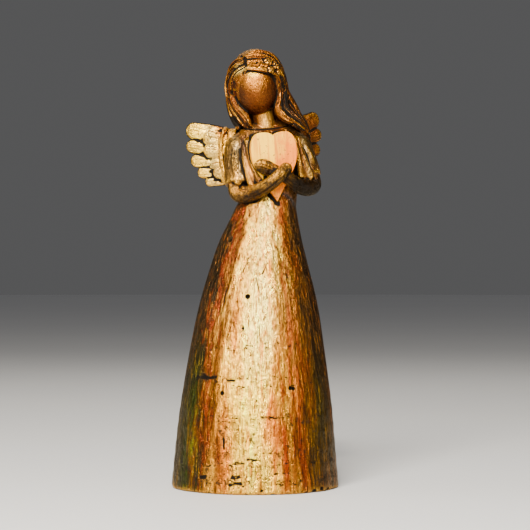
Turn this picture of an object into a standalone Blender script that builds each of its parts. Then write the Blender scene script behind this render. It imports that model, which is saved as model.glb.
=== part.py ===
"""A carved and painted angel figurine that holds a plain wooden heart.

Two pieces: the figure, carved as one with its hair and wings, and the heart,
a flat board let into a seat cut in the chest and held there by the hands.
The figure faces -Y and stands on its flat underside at the origin.
"""

import math

import bmesh
import bpy
from mathutils import Matrix, Vector

# Sizes in metres, angles in degrees.
STATUE_HEIGHT = 0.2000
HEM_RADIUS = 0.0382
WAIST_RADIUS = 0.0130
CHEST_DEPTH = 0.0118
HEART_WIDTH = 0.0216
HEART_HEIGHT = 0.0314
HEART_THICKNESS = 0.0030
HEART_EDGE = 0.0003
HEART_GAP = 0.0003
SEAT_DEPTH = 0.0016
HAND_RADIUS = 0.0027
FEATHER_THICKNESS = 0.0026
BUST_LEAN = 6.0
HEAD_TURN = -11.0
HEAD_TILT = 7.0
HEAD_NOD = 5.0
WING_SWEEP = 33.0
HEART_TILT = 2.0

# The carving is laid out in two-hundredths of the height.
PART = STATUE_HEIGHT / 200

# How finely the figure is carved.
CUT_SIZE = 0.0028 * STATUE_HEIGHT
FACE_COUNT = 9000
RING_SIDES = 14
STATIONS_PER_SPAN = 4
CAP_RINGS = 3

# The gown: height above the floor, sideways shift of its axis, both in parts,
# and how far its radius has grown from the waist's to the hem's.
GOWN_LINE = [
    (-3.0, 0.0, 1.000),
    (2.5, 0.0, 0.997),
    (20.0, 0.3, 0.935),
    (39.4, 0.8, 0.850),
    (66.8, 1.5, 0.675),
    (85.0, 2.0, 0.535),
    (103.4, 2.5, 0.335),
    (112.6, 3.0, 0.225),
    (121.8, 4.3, 0.103),
    (128.6, 5.4, 0.015),
    (134.0, 6.6, -0.100),
    (139.0, 7.4, -0.300),
]
GOWN_SIDES = 72
FLUTE_COUNT = 11
FLUTE_DEPTH = 0.35

# The bust leans about this point of the body's axis.
BUST_FOOT = Vector((8.0, 0.0, 140.0))
HEAD_CENTRE = Vector((0.0, -2.0, 181.8))

FIGURE_COLOUR = (0.55, 0.33, 0.13)
HEART_COLOUR = (0.86, 0.62, 0.43)


def turn(degrees, axis):
    return Matrix.Rotation(math.radians(degrees), 4, axis)


def bust_frame():
    return Matrix.Translation(BUST_FOOT * PART) @ turn(-BUST_LEAN, "Y")


def head_frame():
    placed = Matrix.Translation(HEAD_CENTRE * PART)
    return placed @ turn(HEAD_TURN, "Z") @ turn(-HEAD_TILT, "Y") @ turn(HEAD_NOD, "X")


def eased(points, spans=STATIONS_PER_SPAN):
    """A smooth run through the points, each a tuple of numbers of any length."""
    rows = [Vector(p) for p in points]
    if len(rows) < 3:
        return [rows[0].lerp(rows[-1], i / spans) for i in range(spans + 1)]
    ends = [rows[0] * 2 - rows[1], *rows, rows[-1] * 2 - rows[-2]]
    found = []
    for a, b, c, d in zip(ends, ends[1:], ends[2:], ends[3:]):
        for i in range(spans):
            t = i / spans
            found.append(
                (b * 2 + (c - a) * t + (a * 2 - b * 5 + c * 4 - d) * t**2
                 + (b * 3 - a - c * 3 + d) * t**3) / 2
            )
    found.append(rows[-1])
    return found


def close_ring_stack(clay, rings, first_pole, last_pole):
    """Skins rings of equal count into one closed body that ends in two poles."""
    made = [[clay.verts.new(p) for p in ring] for ring in rings]
    start, end = clay.verts.new(first_pole), clay.verts.new(last_pole)
    sides = len(made[0])
    for low, high in zip(made, made[1:]):
        for i in range(sides):
            j = (i + 1) % sides
            clay.faces.new((low[i], low[j], high[j], high[i]))
    for i in range(sides):
        j = (i + 1) % sides
        clay.faces.new((start, made[0][j], made[0][i]))
        clay.faces.new((end, made[-1][i], made[-1][j]))


def add_limb(clay, frame, stations, facing=(0, -1, 0), tip=None):
    """A round-ended limb through stations of x, y, z, half width and half depth, in parts.

    The half width is measured across the view along facing, and the half depth along it.
    Each end is drawn out by tip, or by the smaller half size there.
    """
    runs = eased([s if len(s) == 5 else (*s, s[3]) for s in stations])
    centres = [Vector(r[:3]) for r in runs]
    facing = Vector(facing).normalized()
    rings = []

    def section(centre, along, width, depth):
        across = along.cross(facing).normalized()
        forward = across.cross(along).normalized()
        ring = []
        for i in range(RING_SIDES):
            a = 2 * math.pi * i / RING_SIDES
            p = centre + across * (width * math.cos(a)) - forward * (depth * math.sin(a))
            ring.append(frame @ (p * PART))
        return ring

    first_way = (centres[1] - centres[0]).normalized()
    last_way = (centres[-1] - centres[-2]).normalized()
    first_tip = tip or min(runs[0][3], runs[0][4])
    last_tip = tip or min(runs[-1][3], runs[-1][4])
    cap_angles = [math.radians(90 * k / CAP_RINGS) for k in range(1, CAP_RINGS)]
    for a in reversed(cap_angles):
        width, depth = runs[0][3], runs[0][4]
        centre = centres[0] - first_way * (first_tip * math.sin(a))
        rings.append(section(centre, first_way, width * math.cos(a), depth * math.cos(a)))
    for i, run in enumerate(runs):
        before, after = centres[max(i - 1, 0)], centres[min(i + 1, len(runs) - 1)]
        rings.append(section(centres[i], (after - before).normalized(), run[3], run[4]))
    for a in cap_angles:
        width, depth = runs[-1][3], runs[-1][4]
        centre = centres[-1] + last_way * (last_tip * math.sin(a))
        rings.append(section(centre, last_way, width * math.cos(a), depth * math.cos(a)))
    start = centres[0] - first_way * first_tip
    end = centres[-1] + last_way * last_tip
    close_ring_stack(clay, rings, frame @ (start * PART), frame @ (end * PART))


def add_ball(clay, frame, centre, radii):
    """An ellipsoid: its centre and its three half sizes, in parts."""
    sized = Matrix.Diagonal((*(Vector(radii) * PART), 1))
    placed = frame @ Matrix.Translation(Vector(centre) * PART) @ sized
    bmesh.ops.create_icosphere(clay, subdivisions=4, radius=1, matrix=placed)


def gown_radius(growth):
    return WAIST_RADIUS + (HEM_RADIUS - WAIST_RADIUS) * growth


def add_gown(clay):
    """The bell of the skirt, with shallow flutes that fade out at the hem."""
    rings = []
    lowest, highest = GOWN_LINE[0][0], GOWN_LINE[-1][0]
    for height, shift, growth in eased(GOWN_LINE):
        radius = gown_radius(growth)
        up = (height - lowest) / (highest - lowest)
        wave = FLUTE_DEPTH * PART * math.sin(math.pi * up) ** 2
        ring = []
        for i in range(GOWN_SIDES):
            a = 2 * math.pi * i / GOWN_SIDES
            fold = math.cos(FLUTE_COUNT * a) + 0.5 * math.cos((FLUTE_COUNT + 6) * a + 2.0)
            r = radius + wave * fold
            ring.append(Vector((shift * PART + r * math.cos(a), r * math.sin(a), height * PART)))
        rings.append(ring)
    first = Vector((GOWN_LINE[0][1], 0, lowest)) * PART
    last = Vector((GOWN_LINE[-1][1], 0, highest)) * PART
    close_ring_stack(clay, rings, first, last)


def add_torso(clay, bust):
    """From the waist to the neck, in the bust's own frame."""
    chest, waist = CHEST_DEPTH / PART, WAIST_RADIUS / PART
    add_limb(clay, bust, [
        (-3.0, 0.0, -12.0, waist, waist * 0.86),
        (-1.0, 0.0, -5.0, waist * 0.94, waist * 0.80),
        (0.0, 0.0, 2.0, waist * 0.97, chest * 0.93),
        (0.2, 0.0, 10.0, waist * 1.04, chest),
        (0.2, 0.2, 15.5, waist * 1.03, chest * 0.88),
        (0.0, 0.3, 18.6, waist * 0.86, chest * 0.58),
    ])
    add_limb(clay, bust, [
        (0.0, 1.0, 16.0, 7.5, 7.0),
        (-0.4, 0.6, 22.0, 5.6, 5.6),
        (-1.0, 0.0, 28.0, 4.7, 4.7),
        (-2.4, -0.8, 36.0, 4.7, 4.7),
    ])
    for side, top in ((-1, 17.2), (1, 15.2)):
        add_limb(clay, bust, [
            (0.0, 0.8, 22.4, 5.2, 5.2),
            (side * 6.0, 0.7, 21.6, 4.9, 5.2),
            (side * 10.5, 0.5, (20.4 + top) / 2, 5.2, 5.4),
            (side * 14.4, 0.2, top - 1.2, 5.9, 5.9),
        ])


def add_neckline(clay, bust):
    """The raised edge of the gown round the base of the neck."""
    stations = []
    for k in range(9):
        a = math.radians(-76 + 19 * k)
        up = 22.8 + 2.0 * math.sin(a) ** 2
        stations.append((11.0 * math.sin(a) - 1.0, 0.9 - 8.0 * math.cos(a), up, 0.8))
    add_limb(clay, bust, stations, facing=(0, 0, 1))


def heart_front():
    """How far forward of the bust's axis the heart's face lies, in parts."""
    return (CHEST_DEPTH - SEAT_DEPTH + HEART_THICKNESS) / PART


def add_arms(clay, bust):
    """Both arms, crossed over the heart, with the figure's right arm in front."""
    hand = HAND_RADIUS / PART
    rest = -(heart_front() + HEART_GAP / PART + hand)
    add_limb(clay, bust, [
        (-16.8, -2.2, 4.0, 4.4, 4.6),
        (-17.8, -4.6, -1.8, 4.4, 4.6),
        (-17.4, -6.6, -4.9, 4.2, 4.3),
        (-12.8, -10.6, -5.2, 3.7, 3.8),
        (-7.2, rest - 0.4, -2.8, 3.2, 3.3),
        (-1.6, rest - 2.4, 1.2, 3.0, 3.0),
        (2.4, rest - 0.8, 4.1, 3.0, 2.7),
    ])
    add_limb(clay, bust, [
        (17.0, -2.4, 4.0, 3.9, 4.2),
        (17.9, -4.6, -1.8, 3.9, 4.2),
        (17.2, -6.4, -4.4, 3.9, 4.1),
        (13.8, -9.2, -5.0, 3.7, 3.9),
        (9.0, -12.2, -3.6, 3.3, 3.4),
        (3.4, rest + 0.2, 0.2, 2.8, 2.8),
        (-3.0, rest + 0.1, 4.0, 2.9, 2.6),
        (-7.2, rest + 0.1, 6.0, 3.6, 2.6),
        (-9.2, rest + 0.2, 6.7, 3.1, 2.4),
    ])


# Folds of the sleeves, and the cloth between them and the chest: x, y, z and radius.
SLEEVE_FOLDS = [
    [(-16.2, -3.6, 17.0, 1.6), (-17.8, -5.4, 9.0, 1.9), (-18.0, -7.4, 1.0, 2.1)],
    [(-13.0, -5.0, 17.5, 1.4), (-13.4, -8.0, 9.0, 1.7), (-12.6, -10.6, -0.4, 1.9)],
    [(-11.6, -6.6, 18.5, 1.4), (-11.0, -9.8, 9.0, 1.6), (-8.8, -12.4, -0.6, 1.9)],
    [(-10.4, -7.0, 19.0, 1.3), (-9.6, -10.0, 10.0, 1.4), (-6.6, -12.6, 1.0, 1.6)],
    [(-11.6, -6.0, 12.0, 3.2), (-11.4, -7.6, 5.0, 3.6), (-10.8, -9.0, 0.8, 3.2)],
    [(12.6, -5.6, 10.0, 3.0), (13.0, -6.8, 4.0, 3.2), (13.0, -7.6, 1.0, 2.8)],
    [(12.0, -6.0, 17.6, 1.5), (13.2, -8.0, 9.0, 1.8), (15.6, -8.8, 0.6, 1.9)],
    [(15.6, -4.0, 15.0, 1.5), (17.8, -5.4, 8.0, 1.8), (18.4, -6.2, 1.0, 1.8)],
    [(10.4, -7.2, 17.0, 1.2), (11.2, -9.2, 9.0, 1.2), (11.4, -9.6, 1.0, 1.3)],
]

# The sleeves, each open at a hem just above the elbow: x, y, z, half width, half depth.
SLEEVES = [
    [(-14.9, 0.2, 16.0, 5.8, 5.8), (-16.0, -0.8, 9.0, 5.8, 6.0), (-16.7, -2.2, 3.4, 5.8, 6.4),
     (-17.2, -3.4, -0.2, 5.8, 6.6)],
    [(14.8, 0.2, 14.0, 5.7, 5.8), (16.2, -0.8, 8.0, 5.5, 5.8), (17.0, -2.2, 3.2, 5.4, 6.0),
     (17.3, -3.4, 0.0, 5.2, 6.2)],
]
HEM_ROUNDING = 1.1


def add_sleeves(clay, bust):
    for sleeve in SLEEVES:
        add_limb(clay, bust, sleeve, tip=HEM_ROUNDING)
    for fold in SLEEVE_FOLDS:
        add_limb(clay, bust, fold)


# The wing, laid out flat: distance out along the wing, height, half width.
WING_ROOT = Vector((5.0, 8.0, 0.0))
PRIMARIES = [
    [(6.0, 21.2, 3.0), (13.0, 22.4, 4.2), (20.0, 24.0, 4.9), (27.4, 26.4, 4.2)],
    [(8.0, 16.0, 3.0), (21.0, 17.6, 3.5), (28.8, 19.4, 3.4)],
    [(8.0, 11.0, 3.0), (20.0, 11.8, 3.3), (27.6, 12.6, 3.3)],
    [(8.0, 7.0, 3.0), (18.0, 6.6, 3.1), (25.4, 6.9, 3.0)],
    [(8.0, 4.0, 2.6), (16.0, 2.6, 2.6), (22.8, 2.4, 2.5)],
]
COVERTS = [
    [(8.0, 20.0, 3.0), (15.0, 21.0, 4.2), (20.0, 22.6, 4.2)],
    [(8.0, 16.0, 3.0), (14.0, 16.0, 3.8), (20.4, 16.6, 3.8)],
    [(8.0, 11.0, 3.0), (13.0, 11.0, 3.5), (19.4, 11.0, 3.4)],
    [(8.0, 7.0, 3.0), (12.0, 6.0, 3.1), (17.6, 6.0, 3.1)],
    [(8.0, 4.0, 2.4), (11.0, 3.2, 2.5), (14.8, 2.8, 2.5)],
]
RIB = [(12.6, 25.4, 1.4), (14.6, 20.0, 1.5), (15.4, 12.0, 1.5), (14.6, 3.6, 1.3)]
COVERT_STEP = 1.0
WING_CUP = 0.006


def add_wings(clay, bust):
    """Two mirrored wings of overlapping feathers, swept back from the spine."""
    sweep = math.radians(WING_SWEEP)
    thick = FEATHER_THICKNESS / PART / 2
    for side in (-1, 1):
        out = Vector((side * math.cos(sweep), math.sin(sweep), 0))
        back = Vector((-side * math.sin(sweep), math.cos(sweep), 0))
        root = Vector((side * WING_ROOT.x, WING_ROOT.y, 0))

        def laid(t, z, lift=0.0):
            cup = -WING_CUP * max(t - 12.0, 0.0) ** 2
            return root + out * t + back * (cup + lift) + Vector((0, 0, z))

        for number, feather in enumerate(PRIMARIES):
            lift = 0.35 * number
            add_limb(clay, bust, [
                (*laid(t, z, lift), half, thick) for t, z, half in feather
            ], facing=back, tip=feather[-1][2])
        for feather in COVERTS:
            add_limb(clay, bust, [
                (*laid(t, z), half, thick + COVERT_STEP) for t, z, half in feather
            ], facing=back, tip=feather[-1][2])
        add_limb(clay, bust, [
            (*laid(t, z), half, thick + COVERT_STEP + 0.7) for t, z, half in RIB
        ], facing=back)
        add_limb(clay, bust, [
            (*laid(9.0, 23.0), 3.6, 2.6), (*laid(9.5, 14.0), 5.4, 2.8), (*laid(9.0, 5.0), 3.8, 2.6),
        ], facing=back)
        add_limb(clay, bust, [
            (side * 3.0, 5.0, 14.0, 6.0, 5.0), (*laid(9.0, 14.0), 6.5, 2.6),
        ], facing=back)


# The head's own frame, in parts: the face, then the hair that wraps it.
FACE_RADII = (10.3, 10.9, 12.4)
HAIR_CENTRE = (0.6, 1.8, 2.9)
HAIR_RADII = (12.5, 12.4, 15.0)
HAIRLINE_POINT = Vector((0.0, -10.2, 8.8))
HAIRLINE_NORMAL = Vector((0.0, -0.90, -0.44))

# Locks laid over the cap, seen from the front: x, z and half width.
FRINGE = [
    [(-3.6, 9.8, 1.1), (0.5, 9.0, 1.3), (5.0, 7.6, 1.3), (9.0, 5.6, 1.3), (11.2, 1.8, 1.3),
     (11.4, -2.4, 1.4)],
    [(-3.6, 11.8, 1.2), (0.6, 11.6, 1.5), (5.2, 10.4, 1.5), (9.6, 7.8, 1.4), (12.2, 3.2, 1.4),
     (12.8, -1.6, 1.4)],
    [(-3.6, 14.2, 1.2), (0.6, 14.4, 1.5), (5.0, 13.2, 1.5), (9.4, 10.2, 1.5), (12.6, 4.6, 1.5),
     (13.4, -1.6, 1.5)],
    [(-4.5, 9.9, 1.0), (-7.2, 8.7, 1.2), (-9.8, 6.4, 1.3), (-11.2, 3.0, 1.4), (-11.4, -0.8, 1.5),
     (-10.6, -4.4, 1.6)],
    [(-4.6, 12.3, 1.1), (-8.0, 11.0, 1.4), (-11.0, 7.8, 1.5), (-12.6, 3.2, 1.5), (-12.8, -1.2, 1.6),
     (-12.2, -5.4, 1.6)],
]
FRINGE_DEPTH = 1.3
TUCK = 0.95

# Locks that hang beside the neck to the shoulders: x, y, z and radius.
HANGING = [
    [(-11.2, -0.6, -2.4, 1.7), (-9.6, -1.8, -7.4, 2.1), (-6.6, -2.8, -11.0, 2.6),
     (-6.2, -4.2, -14.8, 1.6)],
    [(-12.2, 1.2, -3.0, 1.7), (-11.0, 0.8, -8.0, 1.9), (-8.6, -0.8, -12.6, 2.1),
     (-6.8, -2.6, -15.6, 1.6)],
    [(-12.8, 2.4, -4.0, 1.6), (-12.2, 2.2, -9.0, 1.5), (-12.0, 2.4, -13.2, 0.9)],
    [(10.4, -3.0, 1.0, 1.6), (9.8, -3.2, -6.0, 1.9), (8.8, -4.0, -10.6, 2.2),
     (10.6, -5.0, -14.0, 2.2), (14.6, -5.6, -17.2, 1.9), (18.6, -5.4, -20.8, 1.3)],
    [(12.4, -1.4, 1.0, 1.7), (12.2, -1.6, -5.3, 1.8), (11.9, -2.6, -9.7, 1.8),
     (14.6, -3.6, -14.0, 1.8), (18.2, -3.8, -17.8, 1.7), (20.4, -3.6, -22.0, 1.2)],
    [(13.2, 0.6, 1.0, 1.6), (13.6, 0.6, -4.4, 1.6), (15.4, 0.4, -9.5, 1.6),
     (17.8, 0.0, -14.2, 1.6), (20.2, -0.8, -19.0, 1.5), (21.4, -1.5, -23.0, 1.1)],
]

# The locks from the crown over the sides and back.
CROWN = Vector((-3.0, -1.0, 17.0))
BACK_LOCKS = 15
BACK_LOCK_HALF = 2.5
BACK_LOCK_DEPTH = 1.8

# The hair below the head hangs as a curtain behind the shoulders. Each level gives the
# statue's height, the curtain's middle, its half width, and its depth at the sides and back.
CURTAIN = [
    (171.0, 6.4, 14.2, 2.0, 10.4),
    (162.5, 8.2, 14.6, 6.0, 12.8),
    (152.5, 9.4, 14.0, 9.0, 14.4),
]
CURTAIN_TIP = 5.0

# Small blossoms tucked into the fringe over the temple: x, z and radius.
BLOSSOMS = [(6.2, 11.0, 1.8), (9.3, 8.9, 1.8), (6.6, 8.0, 1.4), (9.8, 5.9, 1.2)]
PETALS = 5


def add_head(clay, head):
    add_ball(clay, head, (0, 0, 0), FACE_RADII)
    cap = bmesh.new()
    add_ball(cap, Matrix.Identity(4), HAIR_CENTRE, HAIR_RADII)
    everything = [*cap.verts, *cap.edges, *cap.faces]
    bmesh.ops.bisect_plane(
        cap, geom=everything, plane_co=HAIRLINE_POINT * PART, plane_no=HAIRLINE_NORMAL,
        clear_outer=True,
    )
    bmesh.ops.holes_fill(cap, edges=[e for e in cap.edges if e.is_boundary])
    bmesh.ops.transform(cap, matrix=head, verts=cap.verts)
    moved = {v: clay.verts.new(v.co) for v in cap.verts}
    for face in cap.faces:
        clay.faces.new([moved[v] for v in face.verts])
    cap.free()


def on_hair(around, down):
    """A point of the hair's cap, in the head's frame: angles from the front and from the top."""
    centre, radii = Vector(HAIR_CENTRE), Vector(HAIR_RADII) * TUCK
    away = Vector((
        math.sin(around) * math.sin(down), -math.cos(around) * math.sin(down), math.cos(down),
    ))
    return centre + Vector(a * r for a, r in zip(away, radii))


def hair_front(x, z):
    """How far forward the cap lies at x and z; beside the cap, its middle."""
    centre, radii = HAIR_CENTRE, HAIR_RADII
    left = 1 - ((x - centre[0]) / radii[0]) ** 2 - ((z - centre[2]) / radii[2]) ** 2
    return centre[1] - radii[1] * math.sqrt(max(left, 0.0))


def add_front_locks(clay, head):
    """The fringe either side of the parting, and the locks that hang from it."""
    for lock in FRINGE:
        add_limb(clay, head, [
            (x, hair_front(x, z), z, half, FRINGE_DEPTH) for x, z, half in lock
        ])
    for lock in HANGING:
        add_limb(clay, head, lock)


def add_back_locks(clay, head):
    """Locks from the crown over the sides and back, ending in points behind the shoulders."""
    for k in range(BACK_LOCKS):
        share = k / (BACK_LOCKS - 1)
        around = math.radians(285 - 210 * share)
        points = [head @ (CROWN.lerp(on_hair(around, math.radians(25)), 0.5) * PART)]
        points += [head @ (on_hair(around, math.radians(d)) * PART) for d in (42, 72, 98)]
        sideways = -math.cos(math.pi * share)
        backwards = math.sin(math.pi * share)
        for height, middle, half, side_deep, back_deep in CURTAIN:
            wave = 0.6 * math.sin(2.4 * k + height / 4)
            deep = side_deep + (back_deep - side_deep) * backwards ** 0.7
            points.append(Vector((middle + half * sideways + wave, deep, height)) * PART)
        points.append(points[-1] + Vector((0, 0, -CURTAIN_TIP * (0.4 + backwards))) * PART)
        thickness = (0.5, 0.85, 1.0, 1.0, 1.0, 0.95, 0.85, 0.4)
        facing = Vector((sideways, backwards + 0.2, 0))
        add_limb(clay, Matrix.Identity(4), [
            (*(p / PART), BACK_LOCK_HALF * t, BACK_LOCK_DEPTH * t)
            for p, t in zip(points, thickness)
        ], facing=facing)


def add_blossoms(clay, head):
    for x, z, radius in BLOSSOMS:
        centre = Vector((x, hair_front(x, z) - 0.9, z))
        outward = (centre - Vector(HAIR_CENTRE)).normalized()
        flat = outward.to_track_quat("Z", "Y").to_matrix().to_4x4()
        placed = head @ Matrix.Translation(centre * PART) @ flat
        for k in range(PETALS):
            a = 2 * math.pi * k / PETALS
            petal = (radius * 0.6 * math.cos(a), radius * 0.6 * math.sin(a), 0.2)
            add_ball(clay, placed, petal, (radius * 0.42, radius * 0.42, 0.9))
        add_ball(clay, placed, (0, 0, 0.6), (radius * 0.3, radius * 0.3, 0.8))


def heart_half(width, height, grow=0.0):
    """The right half of the heart's outline from the notch to the tip, as x and z.

    It is centred on the heart's mid height, and grow moves it outwards.
    """
    knots = [
        (0.00, 0.445, 0.05, 0.485, 0.13, 0.50, 0.24, 0.50),
        (0.24, 0.50, 0.42, 0.50, 0.49, 0.40, 0.50, 0.24),
        (0.50, 0.24, 0.51, 0.08, 0.43, -0.02, 0.31, -0.15),
        (0.31, -0.15, 0.20, -0.27, 0.10, -0.39, 0.00, -0.50),
    ]
    steps = 6
    line = []
    for x0, z0, x1, z1, x2, z2, x3, z3 in knots:
        for i in range(steps):
            t = i / steps
            weights = ((1 - t) ** 3, 3 * t * (1 - t) ** 2, 3 * t * t * (1 - t), t ** 3)
            x = sum(w * v for w, v in zip(weights, (x0, x1, x2, x3)))
            z = sum(w * v for w, v in zip(weights, (z0, z1, z2, z3)))
            line.append(Vector((x * width, z * height)))
    line.append(Vector((0.0, -0.5 * height)))
    if not grow:
        return line
    grown = []
    for i, p in enumerate(line):
        way = (line[min(i + 1, len(line) - 1)] - line[max(i - 1, 0)]).normalized()
        away = Vector((-way.y, way.x))
        moved = p + away * grow
        grown.append(Vector((max(moved.x, 0.0), moved.y)))
    grown[0].x = 0.0
    grown[0].y = line[0].y + 2 * grow
    grown[-1] = Vector((0.0, line[-1].y - 2 * grow))
    return grown


HEART_MIDDLE = Vector((-1.3, 0.0, 5.7))


def heart_frame():
    """The heart's middle on the back of its board, in the statue's frame."""
    seat = Vector((0, -(CHEST_DEPTH - SEAT_DEPTH), 0))
    placed = Matrix.Translation(HEART_MIDDLE * PART + seat)
    return bust_frame() @ placed @ turn(HEART_TILT, "Y")


def heart_board(name, grow, back, front, edge):
    """A heart-shaped board from back to front, with its rims eased by edge."""
    half = heart_half(HEART_WIDTH, HEART_HEIGHT, grow)
    outline = half + [Vector((-p.x, p.y)) for p in reversed(half[1:-1])]
    board = bmesh.new()
    base = board.faces.new([board.verts.new((p.x, back, p.y)) for p in outline])
    pulled = bmesh.ops.extrude_face_region(board, geom=[base])
    raised = [g for g in pulled["geom"] if isinstance(g, bmesh.types.BMVert)]
    bmesh.ops.translate(board, verts=raised, vec=(0, front - back, 0))
    bmesh.ops.recalc_face_normals(board, faces=board.faces)
    if edge:
        rims = [e for e in board.edges if abs(e.verts[0].co.y - e.verts[1].co.y) < 1e-7]
        bmesh.ops.bevel(board, geom=rims, offset=edge, segments=1, affect="EDGES")
    mesh = bpy.data.meshes.new(name)
    board.to_mesh(mesh)
    board.free()
    piece = bpy.data.objects.new(name, mesh)
    piece.matrix_world = heart_frame()
    bpy.context.scene.collection.objects.link(piece)
    return piece


def helper(piece):
    piece.hide_render = True
    piece.display_type = "WIRE"
    return piece


def floor_cutter():
    """A block under the floor, which cuts the gown's foot flat."""
    side = 4 * HEM_RADIUS
    block = bmesh.new()
    bmesh.ops.create_cube(block, size=side, matrix=Matrix.Translation((0, 0, -side / 2)))
    mesh = bpy.data.meshes.new("floor_cutter")
    block.to_mesh(mesh)
    block.free()
    piece = bpy.data.objects.new("floor_cutter", mesh)
    bpy.context.scene.collection.objects.link(piece)
    return helper(piece)


def paint(piece, name, colour, roughness, metallic):
    material = bpy.data.materials.new(name)
    material.use_nodes = True
    shader = material.node_tree.nodes["Principled BSDF"]
    shader.inputs["Base Color"].default_value = (*colour, 1)
    shader.inputs["Roughness"].default_value = roughness
    shader.inputs["Metallic"].default_value = metallic
    piece.data.materials.append(material)


def cut(piece, name, cutter):
    modifier = piece.modifiers.new(name, "BOOLEAN")
    modifier.operation = "DIFFERENCE"
    modifier.object = cutter


def make_figure():
    """All the figure's forms fused into one body, then thinned to an even set of facets."""
    clay = bmesh.new()
    bust, head = bust_frame(), head_frame()
    add_gown(clay)
    add_torso(clay, bust)
    add_neckline(clay, bust)
    add_arms(clay, bust)
    add_sleeves(clay, bust)
    add_wings(clay, bust)
    add_head(clay, head)
    add_front_locks(clay, head)
    add_back_locks(clay, head)
    add_blossoms(clay, head)
    bmesh.ops.recalc_face_normals(clay, faces=clay.faces)
    mesh = bpy.data.meshes.new("angel_figure")
    clay.to_mesh(mesh)
    clay.free()
    figure = bpy.data.objects.new("angel_figure", mesh)
    bpy.context.scene.collection.objects.link(figure)
    fuse = figure.modifiers.new("Fuse", "REMESH")
    fuse.mode = "VOXEL"
    fuse.voxel_size = CUT_SIZE
    soften = figure.modifiers.new("Soften", "SMOOTH")
    soften.factor = 0.5
    soften.iterations = 2
    bpy.context.view_layer.update()
    fused = figure.evaluated_get(bpy.context.evaluated_depsgraph_get())
    quads = len(fused.data.polygons)
    thin = figure.modifiers.new("Thin", "DECIMATE")
    thin.ratio = min(1.0, FACE_COUNT / (2 * quads))
    cut(figure, "Flat foot", floor_cutter())
    reach = HEART_THICKNESS + HEART_GAP
    seat = heart_board("seat_cutter", HEART_GAP, HEART_GAP, -reach, 0)
    cut(figure, "Heart seat", helper(seat))
    paint(figure, "bronze paint", FIGURE_COLOUR, 0.35, 0.8)
    return figure


def make_heart():
    heart = heart_board("wooden_heart", 0, 0, -HEART_THICKNESS, HEART_EDGE)
    paint(heart, "bare wood", HEART_COLOUR, 0.6, 0.0)
    return heart


for old in list(bpy.data.objects):
    bpy.data.objects.remove(old)
make_figure()
make_heart()
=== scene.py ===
import math
import bpy
import numpy as np
from mathutils import Matrix, Vector
from mathutils.bvhtree import BVHTree
from mathutils.kdtree import KDTree


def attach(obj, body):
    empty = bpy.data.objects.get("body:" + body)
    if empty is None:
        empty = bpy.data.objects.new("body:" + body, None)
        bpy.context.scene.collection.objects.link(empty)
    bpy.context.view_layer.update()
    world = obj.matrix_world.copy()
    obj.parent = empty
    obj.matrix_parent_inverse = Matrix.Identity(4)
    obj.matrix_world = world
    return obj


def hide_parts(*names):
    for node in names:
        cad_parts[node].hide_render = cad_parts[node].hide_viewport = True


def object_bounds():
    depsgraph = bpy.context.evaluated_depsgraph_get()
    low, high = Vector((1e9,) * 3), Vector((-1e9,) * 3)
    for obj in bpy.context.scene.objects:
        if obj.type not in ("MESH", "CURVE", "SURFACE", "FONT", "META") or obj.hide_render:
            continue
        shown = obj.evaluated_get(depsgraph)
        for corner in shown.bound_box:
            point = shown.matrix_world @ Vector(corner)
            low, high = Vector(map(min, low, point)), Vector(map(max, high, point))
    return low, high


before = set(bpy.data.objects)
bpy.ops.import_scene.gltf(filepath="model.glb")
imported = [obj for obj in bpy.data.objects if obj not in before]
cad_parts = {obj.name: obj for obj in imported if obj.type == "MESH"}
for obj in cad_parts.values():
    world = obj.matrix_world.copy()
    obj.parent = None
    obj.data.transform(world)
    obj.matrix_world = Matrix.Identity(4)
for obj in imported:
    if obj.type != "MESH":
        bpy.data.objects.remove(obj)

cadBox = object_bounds()
statueHeight = 0.2
part = statueHeight / 200  # the carving is laid out in two-hundredths of the height

print("stage 1: setting out")

pose = {
    "bustFoot": (8.0, 0.0, 140.0),  # the bust leans about this point
    "bustLean": 6.0,
    "headCentre": (0.0, -2.0, 181.8),
    "headTurn": -11.0,
    "headTilt": 7.0,
    "headNod": 5.0,
    "viewTurn": -15.0,  # the angle that the paint and the marks are laid out from
}

carving = {
    "voxel": 0.00030,
    "softenings": 2,
    "faces": 192000,
    "spans": 6,  # rings between two stations of a limb
    "capRings": 4,
    "capAngle": 84,  # how far a rounded end goes round, in degrees
    "thinnest": 0.15,  # the least half width of a limb
}


def turned(degrees, axis):
    return Matrix.Rotation(math.radians(degrees), 4, axis)


unit = Matrix.Scale(part, 4)
worldPlace = unit.copy()
bustPlace = unit @ Matrix.Translation(pose["bustFoot"]) @ turned(-pose["bustLean"], "Y")
headPlace = unit @ Matrix.Translation(pose["headCentre"]) @ turned(pose["headTurn"], "Z")
headPlace = headPlace @ turned(-pose["headTilt"], "Y") @ turned(pose["headNod"], "X")


def leaveEdit():
    bpy.ops.object.mode_set(mode="OBJECT")


def editAll():
    bpy.ops.object.mode_set(mode="EDIT")
    bpy.ops.mesh.select_all(action="SELECT")


def settle():
    # the place, the turn and the scale go into the mesh
    bpy.ops.object.transform_apply(location=True, rotation=True, scale=True)


def nothingSelected():
    if bpy.context.object and bpy.context.object.mode != "OBJECT":
        leaveEdit()
    bpy.ops.object.select_all(action="DESELECT")


def selectOnly(piece):
    nothingSelected()
    piece.select_set(True)
    bpy.context.view_layer.objects.active = piece


def eased(points, spans):
    # a smooth run through the stations
    rows = [np.array(p, float) for p in points]
    ends = [rows[0] * 2 - rows[1], *rows, rows[-1] * 2 - rows[-2]]
    found = []
    for a, b, c, d in zip(ends, ends[1:], ends[2:], ends[3:]):
        for i in range(spans):
            t = i / spans
            found.append((2 * b + (c - a) * t + (2 * a - 5 * b + 4 * c - d) * t**2
                + (3 * b - a - 3 * c + d) * t**3) / 2)
    found.append(rows[-1])
    return found


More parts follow.
